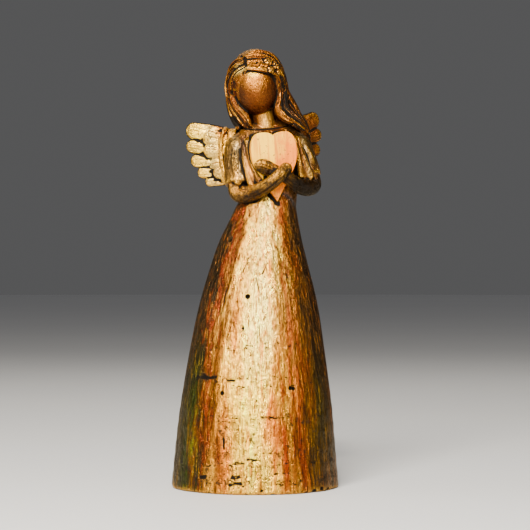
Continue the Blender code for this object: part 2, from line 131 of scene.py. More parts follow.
def ringFrame(along, facing):
    across = along.cross(facing).normalized()
    return Matrix((across, across.cross(along).normalized(), along)).transposed()


def sizeRing(across, deep, turn, centre):
    bpy.ops.transform.resize(
        value=(across, deep, 1), orient_type="GLOBAL", orient_matrix=turn,
        orient_matrix_type="GLOBAL", center_override=centre,
    )


clay = []  # every carved form, fused into one later
runsOf = []  # how each form runs: its middle line, its frames and its sizes
kindNames = ["gown", "bodice", "skin", "arm", "leftWing", "rightWing", "face", "hair", "fringe", "blossom"]


def growLimb(kind, place, stations, facing=(0, -1, 0), tip=None, sides=16, spans=None, ridges=0):
    # a disc is added at the first station and extruded from station to station
    runs = eased([s if len(s) == 5 else (*s, s[3]) for s in stations], spans or carving["spans"])
    centres = [Vector(r[:3]) for r in runs]
    sizes = [(max(r[3], carving["thinnest"]), max(r[4], carving["thinnest"])) for r in runs]
    facing = Vector(facing).normalized()
    ways = [(centres[min(i + 1, len(runs) - 1)] - centres[max(i - 1, 0)]).normalized()
        for i in range(len(runs))]
    rings = []
    capAngles = [math.radians(carving["capAngle"] * k / carving["capRings"])
        for k in range(1, carving["capRings"] + 1)]
    reach = tip or min(sizes[0])
    for a in reversed(capAngles):
        rings.append((centres[0] - ways[0] * reach * math.sin(a), ways[0], sizes[0][0] * math.cos(a),
        sizes[0][1] * math.cos(a)))
    rings += [(c, w, *s) for c, w, s in zip(centres, ways, sizes)]
    reach = tip or min(sizes[-1])
    for a in capAngles:
        rings.append((centres[-1] + ways[-1] * reach * math.sin(a), ways[-1], sizes[-1][0] * math.cos(a),
        sizes[-1][1] * math.cos(a)))
    nothingSelected()
    centre, way, width, depth = rings[0]
    turn = ringFrame(way, facing)
    bpy.ops.mesh.primitive_circle_add(vertices=sides, radius=1, fill_type="NGON", location=centre,
        rotation=turn.to_euler())
    limb = bpy.context.object
    editAll()
    sizeRing(width, depth, turn, centre)
    for centreNow, wayNow, widthNow, depthNow in rings[1:]:
        bpy.ops.mesh.extrude_region_move(TRANSFORM_OT_translate={"value": centreNow - centre})
        turnNow = ringFrame(wayNow, facing)
        for name, angle in zip("XYZ", (turnNow @ turn.transposed()).to_euler("XYZ")):
            if abs(angle) > 1e-5:
                bpy.ops.transform.rotate(value=-angle, orient_axis=name, center_override=centreNow)
        sizeRing(widthNow / width, depthNow / depth, turnNow, centreNow)
        centre, turn, width, depth = centreNow, turnNow, widthNow, depthNow
    leaveEdit()
    toParts = unit.inverted() @ place
    turns = [toParts.to_3x3() @ ringFrame(w, facing) for w in ways]
    return keepForm(limb, kind, place, {
        "centres": np.array([toParts @ c for c in centres]),
        "turns": np.array([np.array(t) for t in turns]),
        "sizes": np.array(sizes),
        "ridges": ridges,
        "tip": tip or min(sizes[-1]),
    })


def keepForm(form, kind, place, run=None):
    form.matrix_world = place @ form.matrix_world
    for name, value in (("kind", kindNames.index(kind)), ("form", len(clay))):
        mark = form.data.attributes.new(name, "INT", "FACE")
        mark.data.foreach_set("value", np.full(len(form.data.polygons), value, np.int32))
    clay.append(form)
    runsOf.append(run)
    return form


def addBall(kind, place, centre, radii, detail=48):
    nothingSelected()
    bpy.ops.mesh.primitive_uv_sphere_add(segments=detail, ring_count=detail // 2, radius=1, location=centre,
        scale=radii)
    return keepForm(bpy.context.object, kind, place)


def pointsOf(mesh):
    found = np.empty(len(mesh.vertices) * 3)
    mesh.vertices.foreach_get("co", found)
    return found.reshape(-1, 3)


def movePoints(mesh, points):
    mesh.vertices.foreach_set("co", np.ascontiguousarray(points, np.float32).ravel())
    mesh.update()


def smoothStep(low, high, value):
    t = np.clip((value - low) / (high - low), 0, 1)
    return t * t * (3 - 2 * t)


print("stage 2: gown")

gown = {
    "hemRadius": 38.05,
    "waistRadius": 13.0,
    "line": [  # height, sideways shift, growth from the waist's radius to the hem's
        (0.0, 0.0, 0.975), (0.5, 0.0, 0.993), (2.5, 0.0, 0.997), (20.0, 0.3, 0.935), (39.4, 0.8, 0.850),
        (66.8, 1.5, 0.675),
        (85.0, 2.0, 0.535), (103.4, 2.5, 0.335), (112.6, 3.0, 0.225), (121.8, 4.3, 0.103),
        (128.6, 5.4, 0.015),
        (134.0, 6.6, -0.100), (139.0, 7.4, -0.300),
    ],
    "sides": 180,
    "flutes": 11,
    "fluteDepth": 0.35,
}
gownRuns = np.array(eased(gown["line"], 8))


def gownAxis(height):
    return np.interp(height, gownRuns[:, 0], gownRuns[:, 1])


def gownRadius(height):
    growth = np.interp(height, gownRuns[:, 0], gownRuns[:, 2])
    return gown["waistRadius"] + (gown["hemRadius"] - gown["waistRadius"]) * growth


nothingSelected()
bpy.ops.mesh.primitive_circle_add(vertices=gown["sides"], radius=gownRadius(0.0), fill_type="NGON")
editAll()
for (low, lowShift, _), (high, highShift, _) in zip(gownRuns, gownRuns[1:]):
    bpy.ops.mesh.extrude_region_move(TRANSFORM_OT_translate={"value": (highShift - lowShift, 0, high - low)})
    share = gownRadius(high) / gownRadius(low)
    bpy.ops.transform.resize(value=(share, share, 1), center_override=(highShift, 0, high))
leaveEdit()
skirt = bpy.context.object
shape = pointsOf(skirt.data)
around = np.arctan2(shape[:, 1], shape[:, 0] - gownAxis(shape[:, 2]))
rise = np.clip((shape[:, 2] + 3) / 142, 0, 1)
wave = gown["fluteDepth"] * np.sin(np.pi * rise) ** 2
wave = wave * (np.cos(gown["flutes"] * around) + 0.5 * np.cos((gown["flutes"] + 6) * around + 2.0))
shape[:, 0] += wave * np.cos(around)
shape[:, 1] += wave * np.sin(around)
movePoints(skirt.data, shape)
keepForm(skirt, "gown", worldPlace)

print("stage 3: bust")

bust = {
    "waist": 13.0,
    "chest": 11.8,
    "seatDepth": 1.6,
    "hand": 2.7,
}
heart = {
    "width": 21.6,
    "height": 31.4,
    "thickness": 3.0,
    "rim": 0.35,
    "gap": 0.3,
    "tilt": 2.0,
    "middle": (-1.3, 0.0, 5.7),
    "halfLine": [  # four curves from the notch to the tip, in shares of the width and height
        (0.00, 0.445, 0.05, 0.485, 0.13, 0.50, 0.24, 0.50),
        (0.24, 0.50, 0.42, 0.50, 0.49, 0.40, 0.50, 0.24),
        (0.50, 0.24, 0.51, 0.08, 0.43, -0.02, 0.31, -0.15),
        (0.31, -0.15, 0.20, -0.27, 0.10, -0.39, 0.00, -0.50),
    ],
}
waist, chest = bust["waist"], bust["chest"]
growLimb("bodice", bustPlace, [
    (-3.0, 0.0, -12.0, waist, waist * 0.86), (-1.0, 0.0, -5.0, waist * 0.94, waist * 0.80),
    (0.0, 0.0, 2.0, waist * 0.97, chest * 0.93), (0.2, 0.0, 10.0, waist * 1.04, chest),
    (0.2, 0.2, 15.5, waist * 1.03, chest * 0.88), (0.0, 0.3, 18.6, waist * 0.86, chest * 0.58),
], sides=48)
growLimb("skin", bustPlace, [
    (0.0, 1.0, 16.0, 7.5, 7.0), (-0.4, 0.6, 22.0, 5.6, 5.6), (-1.0, 0.0, 28.0, 4.7, 4.7),
    (-2.4, -0.8, 36.0, 4.7, 4.7),
], sides=32)
for side, top in ((-1, 17.2), (1, 15.2)):
    growLimb("bodice", bustPlace, [
        (0.0, 0.8, 22.4, 5.2, 5.2), (side * 6.0, 0.7, 21.6, 4.9, 5.2), (side * 10.5, 0.5, (20.4 + top) / 2,
        5.2, 5.4),
        (side * 14.4, 0.2, top - 1.2, 5.9, 5.9),
    ], sides=28)
print("stage 4: arms and sleeves")

rest = -(chest - bust["seatDepth"] + heart["thickness"] + heart["gap"] + bust["hand"])
arms = {
    "right": [
        (-16.8, -2.2, 4.0, 4.4, 4.6), (-17.8, -4.6, -1.8, 4.4, 4.6), (-17.4, -6.6, -4.9, 4.2, 4.3),
        (-12.8, -10.6, -5.2, 3.7, 3.8),
        (-7.2, rest - 0.4, -2.8, 3.2, 3.3), (-1.6, rest - 2.4, 1.2, 3.0, 3.0), (2.4, rest - 0.8, 4.1, 3.0,
        2.7),
    ],
    "left": [
        (17.0, -2.4, 4.0, 3.9, 4.2), (17.9, -4.6, -1.8, 3.9, 4.2), (17.2, -6.4, -4.4, 3.9, 4.1),
        (13.8, -9.2, -5.3, 3.8, 3.9),
        (9.0, -12.2, -4.1, 3.6, 3.5), (3.4, rest + 0.2, -0.3, 3.0, 2.8), (-3.0, rest + 0.1, 4.0, 2.9, 2.6),
        (-7.2, rest + 0.1, 6.0, 3.6, 2.6), (-9.2, rest + 0.2, 6.7, 3.1, 2.4),
    ],
}
sleeves = {
    "hemRounding": 1.1,
    "tubes": [
        [(-14.9, 0.2, 16.0, 5.8, 5.8), (-16.0, -0.8, 9.0, 5.8, 6.0), (-16.7, -2.2, 3.4, 5.8, 6.4),
        (-17.2, -3.4, -0.2, 5.8, 6.6)],
        [(14.8, 0.2, 14.0, 5.7, 5.8), (16.2, -0.8, 8.0, 5.5, 5.8), (17.0, -2.2, 3.2, 5.4, 6.0),
        (17.3, -3.4, 0.0, 5.2, 6.2)],
    ],
    "folds": [
        [(-16.2, -3.6, 17.0, 1.6), (-17.8, -5.4, 9.0, 1.9), (-18.0, -7.4, 1.0, 2.1)],
        [(-13.0, -5.0, 17.5, 1.4), (-13.4, -8.0, 9.0, 1.7), (-12.6, -10.6, -0.4, 1.9)],
        [(-11.6, -6.6, 18.5, 1.4), (-11.0, -9.8, 9.0, 1.6), (-8.8, -12.4, -0.6, 1.9)],
        [(-10.4, -7.0, 19.0, 1.3), (-9.6, -10.0, 10.0, 1.4), (-6.6, -12.6, 1.0, 1.6)],
        [(-11.6, -6.0, 12.0, 3.2), (-11.4, -7.6, 5.0, 3.6), (-10.8, -9.0, 0.8, 3.2)],
        [(12.6, -5.6, 10.0, 3.0), (13.0, -6.8, 4.0, 3.2), (13.0, -7.6, 1.0, 2.8)],
        [(12.0, -6.0, 17.6, 1.5), (13.2, -8.0, 9.0, 1.8), (15.6, -8.8, 0.6, 1.9)],
        [(15.6, -4.0, 15.0, 1.5), (17.8, -5.4, 8.0, 1.8), (18.4, -6.2, 1.0, 1.8)],
        [(10.4, -7.2, 17.0, 1.2), (11.2, -9.2, 9.0, 1.2), (11.4, -9.6, 1.0, 1.3)],
    ],
}
for arm in arms.values():
    growLimb("arm", bustPlace, [tuple(s) for s in arm], sides=24)
for tube in sleeves["tubes"]:
    growLimb("bodice", bustPlace, tube, tip=sleeves["hemRounding"], sides=32)
for fold in sleeves["folds"]:
    growLimb("bodice", bustPlace, fold, sides=16)

print("stage 5: wings")

wings = {
    "root": (5.0, 8.0),
    "sweep": 33.0,
    "cup": 0.006,
    "thickness": 1.3,  # half of a feather's
    "covertStep": 1.0,
    "primaries": [  # distance out along the wing, height, half width
        [(6.0, 21.2, 3.0), (13.0, 22.4, 4.2), (20.0, 24.0, 4.9), (27.4, 26.4, 4.2)],
        [(8.0, 16.0, 3.0), (21.0, 17.6, 3.5), (28.8, 19.4, 3.4)],
        [(8.0, 11.0, 3.0), (20.0, 11.8, 3.3), (27.6, 12.6, 3.3)],
        [(8.0, 7.0, 3.0), (18.0, 6.6, 3.1), (25.4, 6.9, 3.0)],
        [(8.0, 4.0, 2.6), (16.0, 2.6, 2.6), (22.8, 2.4, 2.5)],
    ],
    "coverts": [
        [(8.0, 20.0, 3.0), (15.0, 21.0, 4.2), (20.0, 22.6, 4.2)],
        [(8.0, 16.0, 3.0), (14.0, 16.0, 3.8), (20.4, 16.6, 3.8)],
        [(8.0, 11.0, 3.0), (13.0, 11.0, 3.5), (19.4, 11.0, 3.4)],
        [(8.0, 7.0, 3.0), (12.0, 6.0, 3.1), (17.6, 6.0, 3.1)],
        [(8.0, 4.0, 2.4), (11.0, 3.2, 2.5), (14.8, 2.8, 2.5)],
    ],
    "rib": [(12.6, 25.4, 1.4), (14.6, 20.0, 1.5), (15.4, 12.0, 1.5), (14.6, 3.6, 1.3)],
}
sweep = math.radians(wings["sweep"])
for side, wingKind in ((-1, "leftWing"), (1, "rightWing")):
    out = Vector((side * math.cos(sweep), math.sin(sweep), 0))
    back = Vector((-side * math.sin(sweep), math.cos(sweep), 0))
    root = Vector((side * wings["root"][0], wings["root"][1], 0))

    def laid(t, z, lift=0.0):
        return tuple(root + out * t + back * (lift - wings["cup"] * max(t - 12.0, 0.0) ** 2)
        + Vector((0, 0, z)))

    thin = wings["thickness"]
    for number, feather in enumerate(wings["primaries"]):
        growLimb(wingKind, bustPlace, [(*laid(t, z, 0.35 * number), w, thin) for t, z, w in feather],
        facing=back, tip=feather[-1][2], sides=28)
    for feather in wings["coverts"]:
        growLimb(wingKind, bustPlace, [(*laid(t, z), w, thin + wings["covertStep"]) for t, z, w in feather],
        facing=back, tip=feather[-1][2], sides=28)
        runsOf[-1]["covert"] = True
    growLimb(wingKind, bustPlace, [(*laid(t, z), w, thin + wings["covertStep"] + 0.7) for t, z,
    w in wings["rib"]], facing=back, sides=20)
    growLimb(wingKind, bustPlace, [(*laid(9.0, 23.0), 3.6, 2.6), (*laid(9.5, 14.0), 5.4, 2.8),
        (*laid(9.0, 5.0), 3.8, 2.6)], facing=back, sides=24)
    growLimb("bodice", bustPlace, [(side * 3.0, 5.0, 14.0, 6.0, 5.0), (*laid(9.0, 14.0), 6.5, 2.6)],
        facing=back, sides=24)

print("stage 6: head and hair")

head = {
    "faceCentre": (0.0, 0.0, 0.4),
    "face": (10.0, 11.2, 12.8),
    "hairCentre": (0.6, 1.8, 2.9),
    "hairRadii": (12.5, 12.4, 15.0),
    "hairlinePoint": (0.0, -8.6, 9.0),
    "hairlineNormal": (0.0, -0.949, -0.316),
    "tuck": 0.95,
    "crown": (-3.0, -1.0, 17.0),
}
hair = {
    "fringeDepth": 1.3,
    "fringe": [  # seen from the front: x, z, half width
        [(-3.6, 9.8, 1.1), (0.5, 9.0, 1.3), (5.0, 7.6, 1.3), (9.0, 5.6, 1.3), (11.2, 1.8, 1.3),
        (11.4, -2.4, 1.4)],
        [(-3.6, 11.8, 1.2), (0.6, 11.6, 1.5), (5.2, 10.4, 1.5), (9.6, 7.8, 1.4), (12.2, 3.2, 1.4),
        (12.8, -1.6, 1.4)],
        [(-3.6, 14.2, 1.2), (0.6, 14.4, 1.5), (5.0, 13.2, 1.5), (9.4, 10.2, 1.5), (12.6, 4.6, 1.5),
        (13.4, -1.6, 1.5)],
        [(-3.4, 15.2, 0.6), (0.6, 16.0, 1.2), (5.0, 15.2, 1.5), (9.2, 12.6, 1.5), (11.8, 8.4, 1.2)],
        [(-4.6, 13.9, 0.7), (-7.6, 13.0, 1.2), (-10.2, 10.4, 1.4), (-11.8, 6.2, 1.3)],
        [(-4.5, 9.9, 1.0), (-7.2, 8.7, 1.2), (-9.8, 6.4, 1.3), (-11.2, 3.0, 1.4), (-11.4, -0.8, 1.5),
        (-10.6, -4.4, 1.6)],
        [(-4.6, 12.3, 1.1), (-8.0, 11.0, 1.4), (-11.0, 7.8, 1.5), (-12.6, 3.2, 1.5), (-12.8, -1.2, 1.6),
        (-12.2, -5.4, 1.6)],
    ],
    "hanging": [
        [(-11.2, -0.6, -2.4, 1.7), (-9.8, -1.8, -7.4, 2.0), (-7.4, -2.8, -11.0, 2.2),
        (-5.8, -4.0, -14.6, 1.6), (-4.8, -4.6, -16.6, 0.8)],
        [(-12.2, 1.2, -3.0, 1.7), (-11.2, 0.8, -8.0, 1.9), (-9.2, -0.6, -12.6, 1.9),
        (-7.2, -2.4, -15.8, 1.4), (-6.0, -3.2, -17.6, 0.7)],
        [(-12.8, 2.4, -4.0, 1.6), (-12.4, 2.2, -9.0, 1.7), (-11.4, 1.6, -13.4, 1.6),
        (-10.0, 0.6, -17.0, 1.2)],
        [(10.4, -3.0, 1.0, 1.6), (9.8, -3.2, -6.0, 1.9), (8.8, -4.0, -10.6, 2.2), (10.6, -5.0, -14.0, 2.2),
         (14.6, -5.6, -17.2, 1.9), (18.6, -5.4, -20.8, 1.3)],
        [(12.4, -1.4, 1.0, 1.7), (12.2, -1.6, -5.3, 1.8), (11.9, -2.6, -9.7, 1.8), (14.6, -3.6, -14.0, 1.8),
         (18.2, -3.8, -17.8, 1.7), (20.4, -3.6, -22.0, 1.2)],
        [(13.2, 0.6, 1.0, 1.6), (13.6, 0.6, -4.4, 1.6), (15.4, 0.4, -9.5, 1.6), (17.8, 0.0, -14.2, 1.6),
         (20.2, -0.8, -19.0, 1.5), (21.4, -1.5, -23.0, 1.1)],
    ],
    "backLocks": 15,
    "backHalf": 2.5,
    "backDepth": 1.8,
    "curtain": [  # height, middle, half width, depth at the sides and at the back
        (171.0, 6.4, 14.2, 2.0, 10.4), (162.5, 8.2, 14.6, 6.0, 12.8), (152.5, 9.4, 14.0, 9.0, 14.4),
    ],
    "curtainTip": 5.0,
    "ridges": {"fringe": 8, "hanging": 9, "back": 11},
    "grooveDepth": 0.26,
}
blossoms = {
    "places": [(6.2, 11.2, 2.0), (9.4, 9.0, 2.0), (6.9, 7.4, 1.7), (10.2, 5.8, 1.2)],
    "petals": 5,
}
strands = {
    "edge": [(-3.8, 9.2, 0.5), (0.5, 8.3, 0.6), (5.0, 6.9, 0.6), (9.2, 4.8, 0.5)],
    "twistFrom": (-3.0, 11.2),
    "twistTo": (5.6, 9.6),
    "twistTurns": 2.0,
    "twistSwing": 0.5,
    "twistRadius": 0.62,
}


def onHair(aroundAngle, down):
    away = (math.sin(aroundAngle) * math.sin(down), -math.cos(aroundAngle) * math.sin(down), math.cos(down))
    return Vector(c + a * r * head["tuck"] for c, a, r in zip(head["hairCentre"], away, head["hairRadii"]))


def hairFront(x, z):
    (cx, cy, cz), (rx, ry, rz) = head["hairCentre"], head["hairRadii"]
    return cy - ry * math.sqrt(max(1 - ((x - cx) / rx) ** 2 - ((z - cz) / rz) ** 2, 0.0))


def blossomPlace(place, x, z):
    # on the hair, facing out
    centre = Vector((x, hairFront(x, z) - 1.0, z))
    outward = (centre - Vector(head["hairCentre"])).normalized()
    return place @ Matrix.Translation(centre) @ outward.to_track_quat("Z", "Y").to_matrix().to_4x4()


addBall("face", headPlace, head["faceCentre"], head["face"], detail=96)
cap = addBall("hair", headPlace, head["hairCentre"], head["hairRadii"], detail=96)
selectOnly(cap)
editAll()
cutPoint = headPlace @ Vector(head["hairlinePoint"])
cutNormal = headPlace.to_3x3() @ Vector(head["hairlineNormal"])
bpy.ops.mesh.bisect(plane_co=cutPoint, plane_no=cutNormal.normalized(), use_fill=True, clear_outer=True)
leaveEdit()

for lock in hair["fringe"]:
    growLimb("fringe", headPlace, [(x, hairFront(x, z), z, half, hair["fringeDepth"]) for x, z,
    half in lock], sides=24, ridges=hair["ridges"]["fringe"])
for lock in hair["hanging"]:
    growLimb("hair", headPlace, lock, sides=24, ridges=hair["ridges"]["hanging"])
for k in range(hair["backLocks"]):
    share = k / (hair["backLocks"] - 1)
    aroundAngle = math.radians(285 - 210 * share)
    headToParts = unit.inverted() @ headPlace
    line = [headToParts @ (Vector(head["crown"]).lerp(onHair(aroundAngle, math.radians(25)), 0.5))]
    line += [headToParts @ onHair(aroundAngle, math.radians(d)) for d in (42, 72, 98)]
    sideways, backwards = -math.cos(math.pi * share), math.sin(math.pi * share)
    for height, middle, half, sideDeep, backDeep in hair["curtain"]:
        sway = 0.6 * math.sin(2.4 * k + height / 4)
        line.append(Vector((middle + half * sideways + sway, sideDeep + (backDeep - sideDeep)
            * backwards ** 0.7, height)))
    line.append(line[-1] + Vector((0, 0, -hair["curtainTip"] * (0.4 + backwards))))
    thickness = (0.5, 0.85, 1.0, 1.0, 1.0, 0.95, 0.85, 0.4)
    growLimb("hair", worldPlace, [(*p, hair["backHalf"] * t, hair["backDepth"] * t) for p,
        t in zip(line, thickness)],
             facing=(sideways, backwards + 0.2, 0), sides=28, ridges=hair["ridges"]["back"])

growLimb("fringe", headPlace, [(x, hairFront(x, z) - 0.7, z, r) for x, z, r in strands["edge"]], sides=14)
for k in range(2):
    strand = []
    for i in range(19):
        t = i / 18
        angle = 2 * math.pi * strands["twistTurns"] * t + math.pi * k
        x, z = [a + (b - a) * t for a, b in zip(strands["twistFrom"], strands["twistTo"])]
        z += strands["twistSwing"] * math.sin(angle)
        strand.append((x, hairFront(x, z) - 1.0 - 0.5 * math.cos(angle), z, strands["twistRadius"]))
    growLimb("fringe", headPlace, strand, sides=14, spans=3)

for x, z, radius in blossoms["places"]:
    flat = blossomPlace(headPlace, x, z)
    for k in range(blossoms["petals"]):
        a = 2 * math.pi * k / blossoms["petals"]
        addBall("blossom", flat, (radius * 0.6 * math.cos(a), radius * 0.6 * math.sin(a), 0.2),
            (radius * 0.40, radius * 0.40, 0.9), detail=16)
    addBall("blossom", flat, (0, 0, 0.6), (radius * 0.28, radius * 0.28, 0.8), detail=16)

print("stage 7: fusing the carving")

nothingSelected()
for form in clay:
    form.select_set(True)
figure = skirt
bpy.context.view_layer.objects.active = figure
bpy.ops.object.join()
settle()
editAll()
bpy.ops.mesh.normals_make_consistent(inside=False)
leaveEdit()
figure.name = figure.data.name = "carvedAngel"
sourcePoints = pointsOf(figure.data)
sourceFaces = [tuple(p.vertices) for p in figure.data.polygons]
sourceKinds = np.empty(len(sourceFaces), np.int32)
figure.data.attributes["kind"].data.foreach_get("value", sourceKinds)
sourceForms = np.empty(len(sourceFaces), np.int32)
figure.data.attributes["form"].data.foreach_get("value", sourceForms)
formTree = BVHTree.FromPolygons([tuple(p) for p in sourcePoints], sourceFaces)


def applyModifier(piece, kind, **settings):
    modifier = piece.modifiers.new(kind.title(), kind)
    for name, value in settings.items():
        setattr(modifier, name, value)
    bpy.ops.object.modifier_apply(modifier=modifier.name)


def largestSkin(piece):
    # sealed pockets inside the carving and stray slivers go, the outer skin stays
    name = piece.name
    selectOnly(piece)
    editAll()
    bpy.ops.mesh.separate(type="LOOSE")
    leaveEdit()
    skins = sorted(bpy.context.selected_objects, key=lambda skin: len(skin.data.polygons))
    nothingSelected()
    for skin in skins[:-1]:
        skin.select_set(True)
    bpy.ops.object.delete()
    skins[-1].name = skins[-1].data.name = name
    skins[-1].select_set(True)
    bpy.context.view_layer.objects.active = skins[-1]
    return skins[-1]


applyModifier(figure, "REMESH", mode="VOXEL", voxel_size=carving["voxel"])
figure = largestSkin(figure)
applyModifier(figure, "SMOOTH", factor=0.5, iterations=carving["softenings"])
print("  fused into", len(figure.data.vertices), "points")


def linksOf(mesh):
    ends = np.empty(len(mesh.edges) * 2, np.int32)
    mesh.edges.foreach_get("vertices", ends)
    return ends.reshape(-1, 2)


def normalsOf(mesh):
    found = np.empty(len(mesh.vertices) * 3, np.float32)
    mesh.vertex_normals.foreach_get("vector", found)
    return found.reshape(-1, 3).astype(float)


def spread(values, links, times, share=1.0):
    # each point's value drawn towards its neighbours' mean
    count = np.bincount(links.ravel(), minlength=len(values)).astype(float)
    result = values.copy()
    columns = result.reshape(len(values), -1)
    for _ in range(times):
        for c in range(columns.shape[1]):
            total = (np.bincount(links[:, 0], columns[links[:, 1], c], len(values))
            + np.bincount(links[:, 1], columns[links[:, 0], c], len(values)))
            columns[:, c] += share * (total / np.maximum(count, 1) - columns[:, c])
    return result


def followRuns(points, forms):
    # where each point lies on its own form: across, forward, along, and its share of the sizes
    found = points.copy()
    share = np.zeros((len(points), 2))
    rim, ends = np.zeros(len(points)), np.zeros(len(points))
    for number in np.unique(forms):
        run = runsOf[number]
        if run is None:
            continue
        here = np.nonzero(forms == number)[0]
        rows = points[here]
        centres, turns = run["centres"], run["turns"]
        away = ((rows[:, None, :] - centres[None]) ** 2).sum(2)
        ring = away.argmin(1)
        lengths = np.concatenate([[0], np.cumsum(np.linalg.norm(np.diff(centres, axis=0), axis=1))])
        local = np.einsum("ni,nij->nj", rows - centres[ring], turns[ring])
        share[here] = local[:, :2] / run["sizes"][ring]
        local[:, 2] += lengths[ring]
        past = np.maximum(local[:, 2] - lengths[-1], 0) / run["tip"]
        rim[here] = np.sqrt(share[here, 0] ** 2 + past**2)
        ends[here] = local[:, 2] / (lengths[-1] + run["tip"])
        found[here] = local + np.array([number * 7.3, number * 3.1, number * 11.7])
    return found, share, rim, ends


def inPlace(place, rows):
    back = np.array(place.inverted())
    return (rows * part) @ back[:3, :3].T + back[:3, 3]


print("stage 8: marks in the gown")

marks = {  # seen from the front, in parts: sideways and height
    "pits": [(-3.2, 87.0, 1.15, 1.4), (-5.3, 72.8, 0.65, 0.8), (-14.3, 44.2, 0.95, 1.3),
    (16.0, 46.4, 0.95, 1.3), (17.3, 46.2, 0.80, 1.2),
             (7.8, 90.9, 0.38, 0.5), (-13.7, 66.8, 0.42, 0.5), (3.2, 1.8, 0.6, 0.6),
             (-3.6, 63.9, 0.34, 0.4), (-1.8, 61.0, 0.36, 0.4),
             (-6.4, 60.5, 0.32, 0.35), (0.9, 41.1, 0.40, 0.4), (9.5, 33.0, 0.32, 0.35),
             (-20.5, 55.0, 0.34, 0.3), (4.0, 25.0, 0.32, 0.3),
             (21.0, 66.0, 0.34, 0.3), (-9.8, 33.5, 0.32, 0.3), (13.0, 58.0, 0.30, 0.3)],
    "scratches": [(6.0, 102.5, 3.2, 96.6, 0.26, 0.28), (-6.9, 98.9, -10.5, 93.4, 0.26, 0.26),
    (-13.8, 25.2, -13.4, 19.2, 0.36, 0.65),
                  (-26.5, 51.2, -20.8, 50.8, 0.80, 0.35), (-22.0, 50.6, -16.4, 51.2, 0.65, 0.30),
                  (-19.2, 51.6, -17.6, 49.2, 0.35, 0.3),
                  (-12.6, 49.6, -8.8, 49.9, 0.42, 0.22), (-9.4, 13.2, -5.0, 13.6, 0.42, 0.26),
                  (-9.0, 14.2, -6.0, 14.0, 0.30, 0.2),
                  (-25.0, 6.6, -21.0, 7.2, 0.75, 0.3), (-16.0, 50.8, -8.0, 49.4, 0.50, 0.16),
                  (-12.0, 4.0, -5.0, 5.0, 0.70, 0.15),
                  (-11.0, 7.5, -6.0, 8.2, 0.60, 0.15), (2.0, 34.0, 9.0, 33.6, 0.45, 0.12),
                  (-4.0, 15.6, 3.0, 15.0, 0.40, 0.12), (8.4, 8.8, 10.6, 9.2, 0.45, 0.25),
                  (12.0, 9.4, 14.0, 9.0, 0.4, 0.2),
                  (0.5, 96.0, 2.2, 88.0, 0.20, 0.16), (-2.5, 105.0, -5.5, 97.0, 0.20, 0.16),
                  (10.0, 110.0, 11.5, 100.0, 0.20, 0.16),
                  (2.0, 75.0, 2.6, 66.0, 0.18, 0.14), (-9.0, 84.0, -10.5, 76.0, 0.18, 0.14),
                  (12.5, 82.0, 13.4, 72.0, 0.18, 0.14),
                  (14.5, 98.0, 16.5, 84.0, 0.22, 0.16), (17.5, 84.0, 20.0, 66.0, 0.22, 0.14),
                  (-12.5, 92.0, -17.0, 70.0, 0.22, 0.14)],
    "planes": [(-9.0, 112.0, -24.0, 20.0, 1.1, 0.28), (-1.0, 116.0, -9.0, 30.0, 0.9, 0.22),
    (6.0, 117.0, 6.5, 40.0, 1.0, 0.24),
               (11.0, 112.0, 21.0, 12.0, 1.2, 0.30), (13.5, 104.0, 29.0, 8.0, 1.0, 0.26),
               (2.5, 104.0, 0.5, 8.0, 0.8, 0.16)],
    "chips": [(26.5, 0.4, 1.6, 0.7), (30.0, 1.2, 1.3, 0.7), (33.0, 0.6, 1.2, 0.6), (23.0, 0.2, 1.0, 0.4),
    (8.0, 0.0, 0.9, 0.35), (-20.0, 0.1, 0.9, 0.35)],
    "unevenness": 0.12,
    "ripple": 1.15,  # the turned ridges low on the gown
    "rippleDepth": 0.07,
    "neckline": (23.2, 0.9, 0.30),  # height on the bust, rise toward the shoulders, depth
}
viewAngle = math.radians(pose["viewTurn"])
rightWay = np.array([math.cos(viewAngle), math.sin(viewAngle), 0])
towardWay = np.array([math.sin(viewAngle), -math.cos(viewAngle), 0])


def onGown(sideways, height):
    radius = gownRadius(height)
    offset = sideways - gownAxis(height) * rightWay[0]
    near = math.sqrt(max(radius**2 - offset**2, 0.0))
    return np.array([gownAxis(height), 0, height]) + rightWay * offset + towardWay * near


points = pointsOf(figure.data) / part
normals = normalsOf(figure.data)
sink = np.zeros(len(points))
darkMarks = np.zeros(len(points))
high = np.nonzero(points[:, 2] > 138)[0]  # the hair is all above this
forms = np.zeros(len(points), np.int32)
forms[high] = [sourceForms[formTree.find_nearest(Vector(p * part))[2]] for p in points[high]]
runs, share = followRuns(points, forms)[:2]
ridgeCounts = np.array([run["ridges"] if run else 0 for run in runsOf])[forms]
turnIn = np.arctan2(share[:, 1], share[:, 0]) + 0.25 * np.sin(runs[:, 2] / 3.1)
groove = np.abs(np.sin(ridgeCounts * turnIn / 2)) * (ridgeCounts > 0)
groove = (1 - groove) ** 2 * (ridgeCounts > 0)
sink += hair["grooveDepth"] * groove
bustPoints = inPlace(bustPlace, points)
neckLine = np.abs(bustPoints[:, 2] - marks["neckline"][0] - marks["neckline"][1]
    * (bustPoints[:, 0] / 10) ** 2)
neckLine = (smoothStep(0.55, 0.1, neckLine) * (bustPoints[:, 1] < 1.5)
    * smoothStep(11.5, 9.5, np.abs(bustPoints[:, 0])) * (points[:, 2] < 168))
sink += marks["neckline"][2] * neckLine
for sideways, height, radius, depth in marks["pits"]:
    away = np.linalg.norm(points - onGown(sideways, height), axis=1) / radius
    sink += depth * np.clip(1 - away**2, 0, 1) ** 0.7
    darkMarks = np.maximum(darkMarks, smoothStep(1.35, 0.7, away))
# darker in the hair's carved grooves and along the neckline
darkGrooves = np.maximum(0.9 * groove, neckLine)
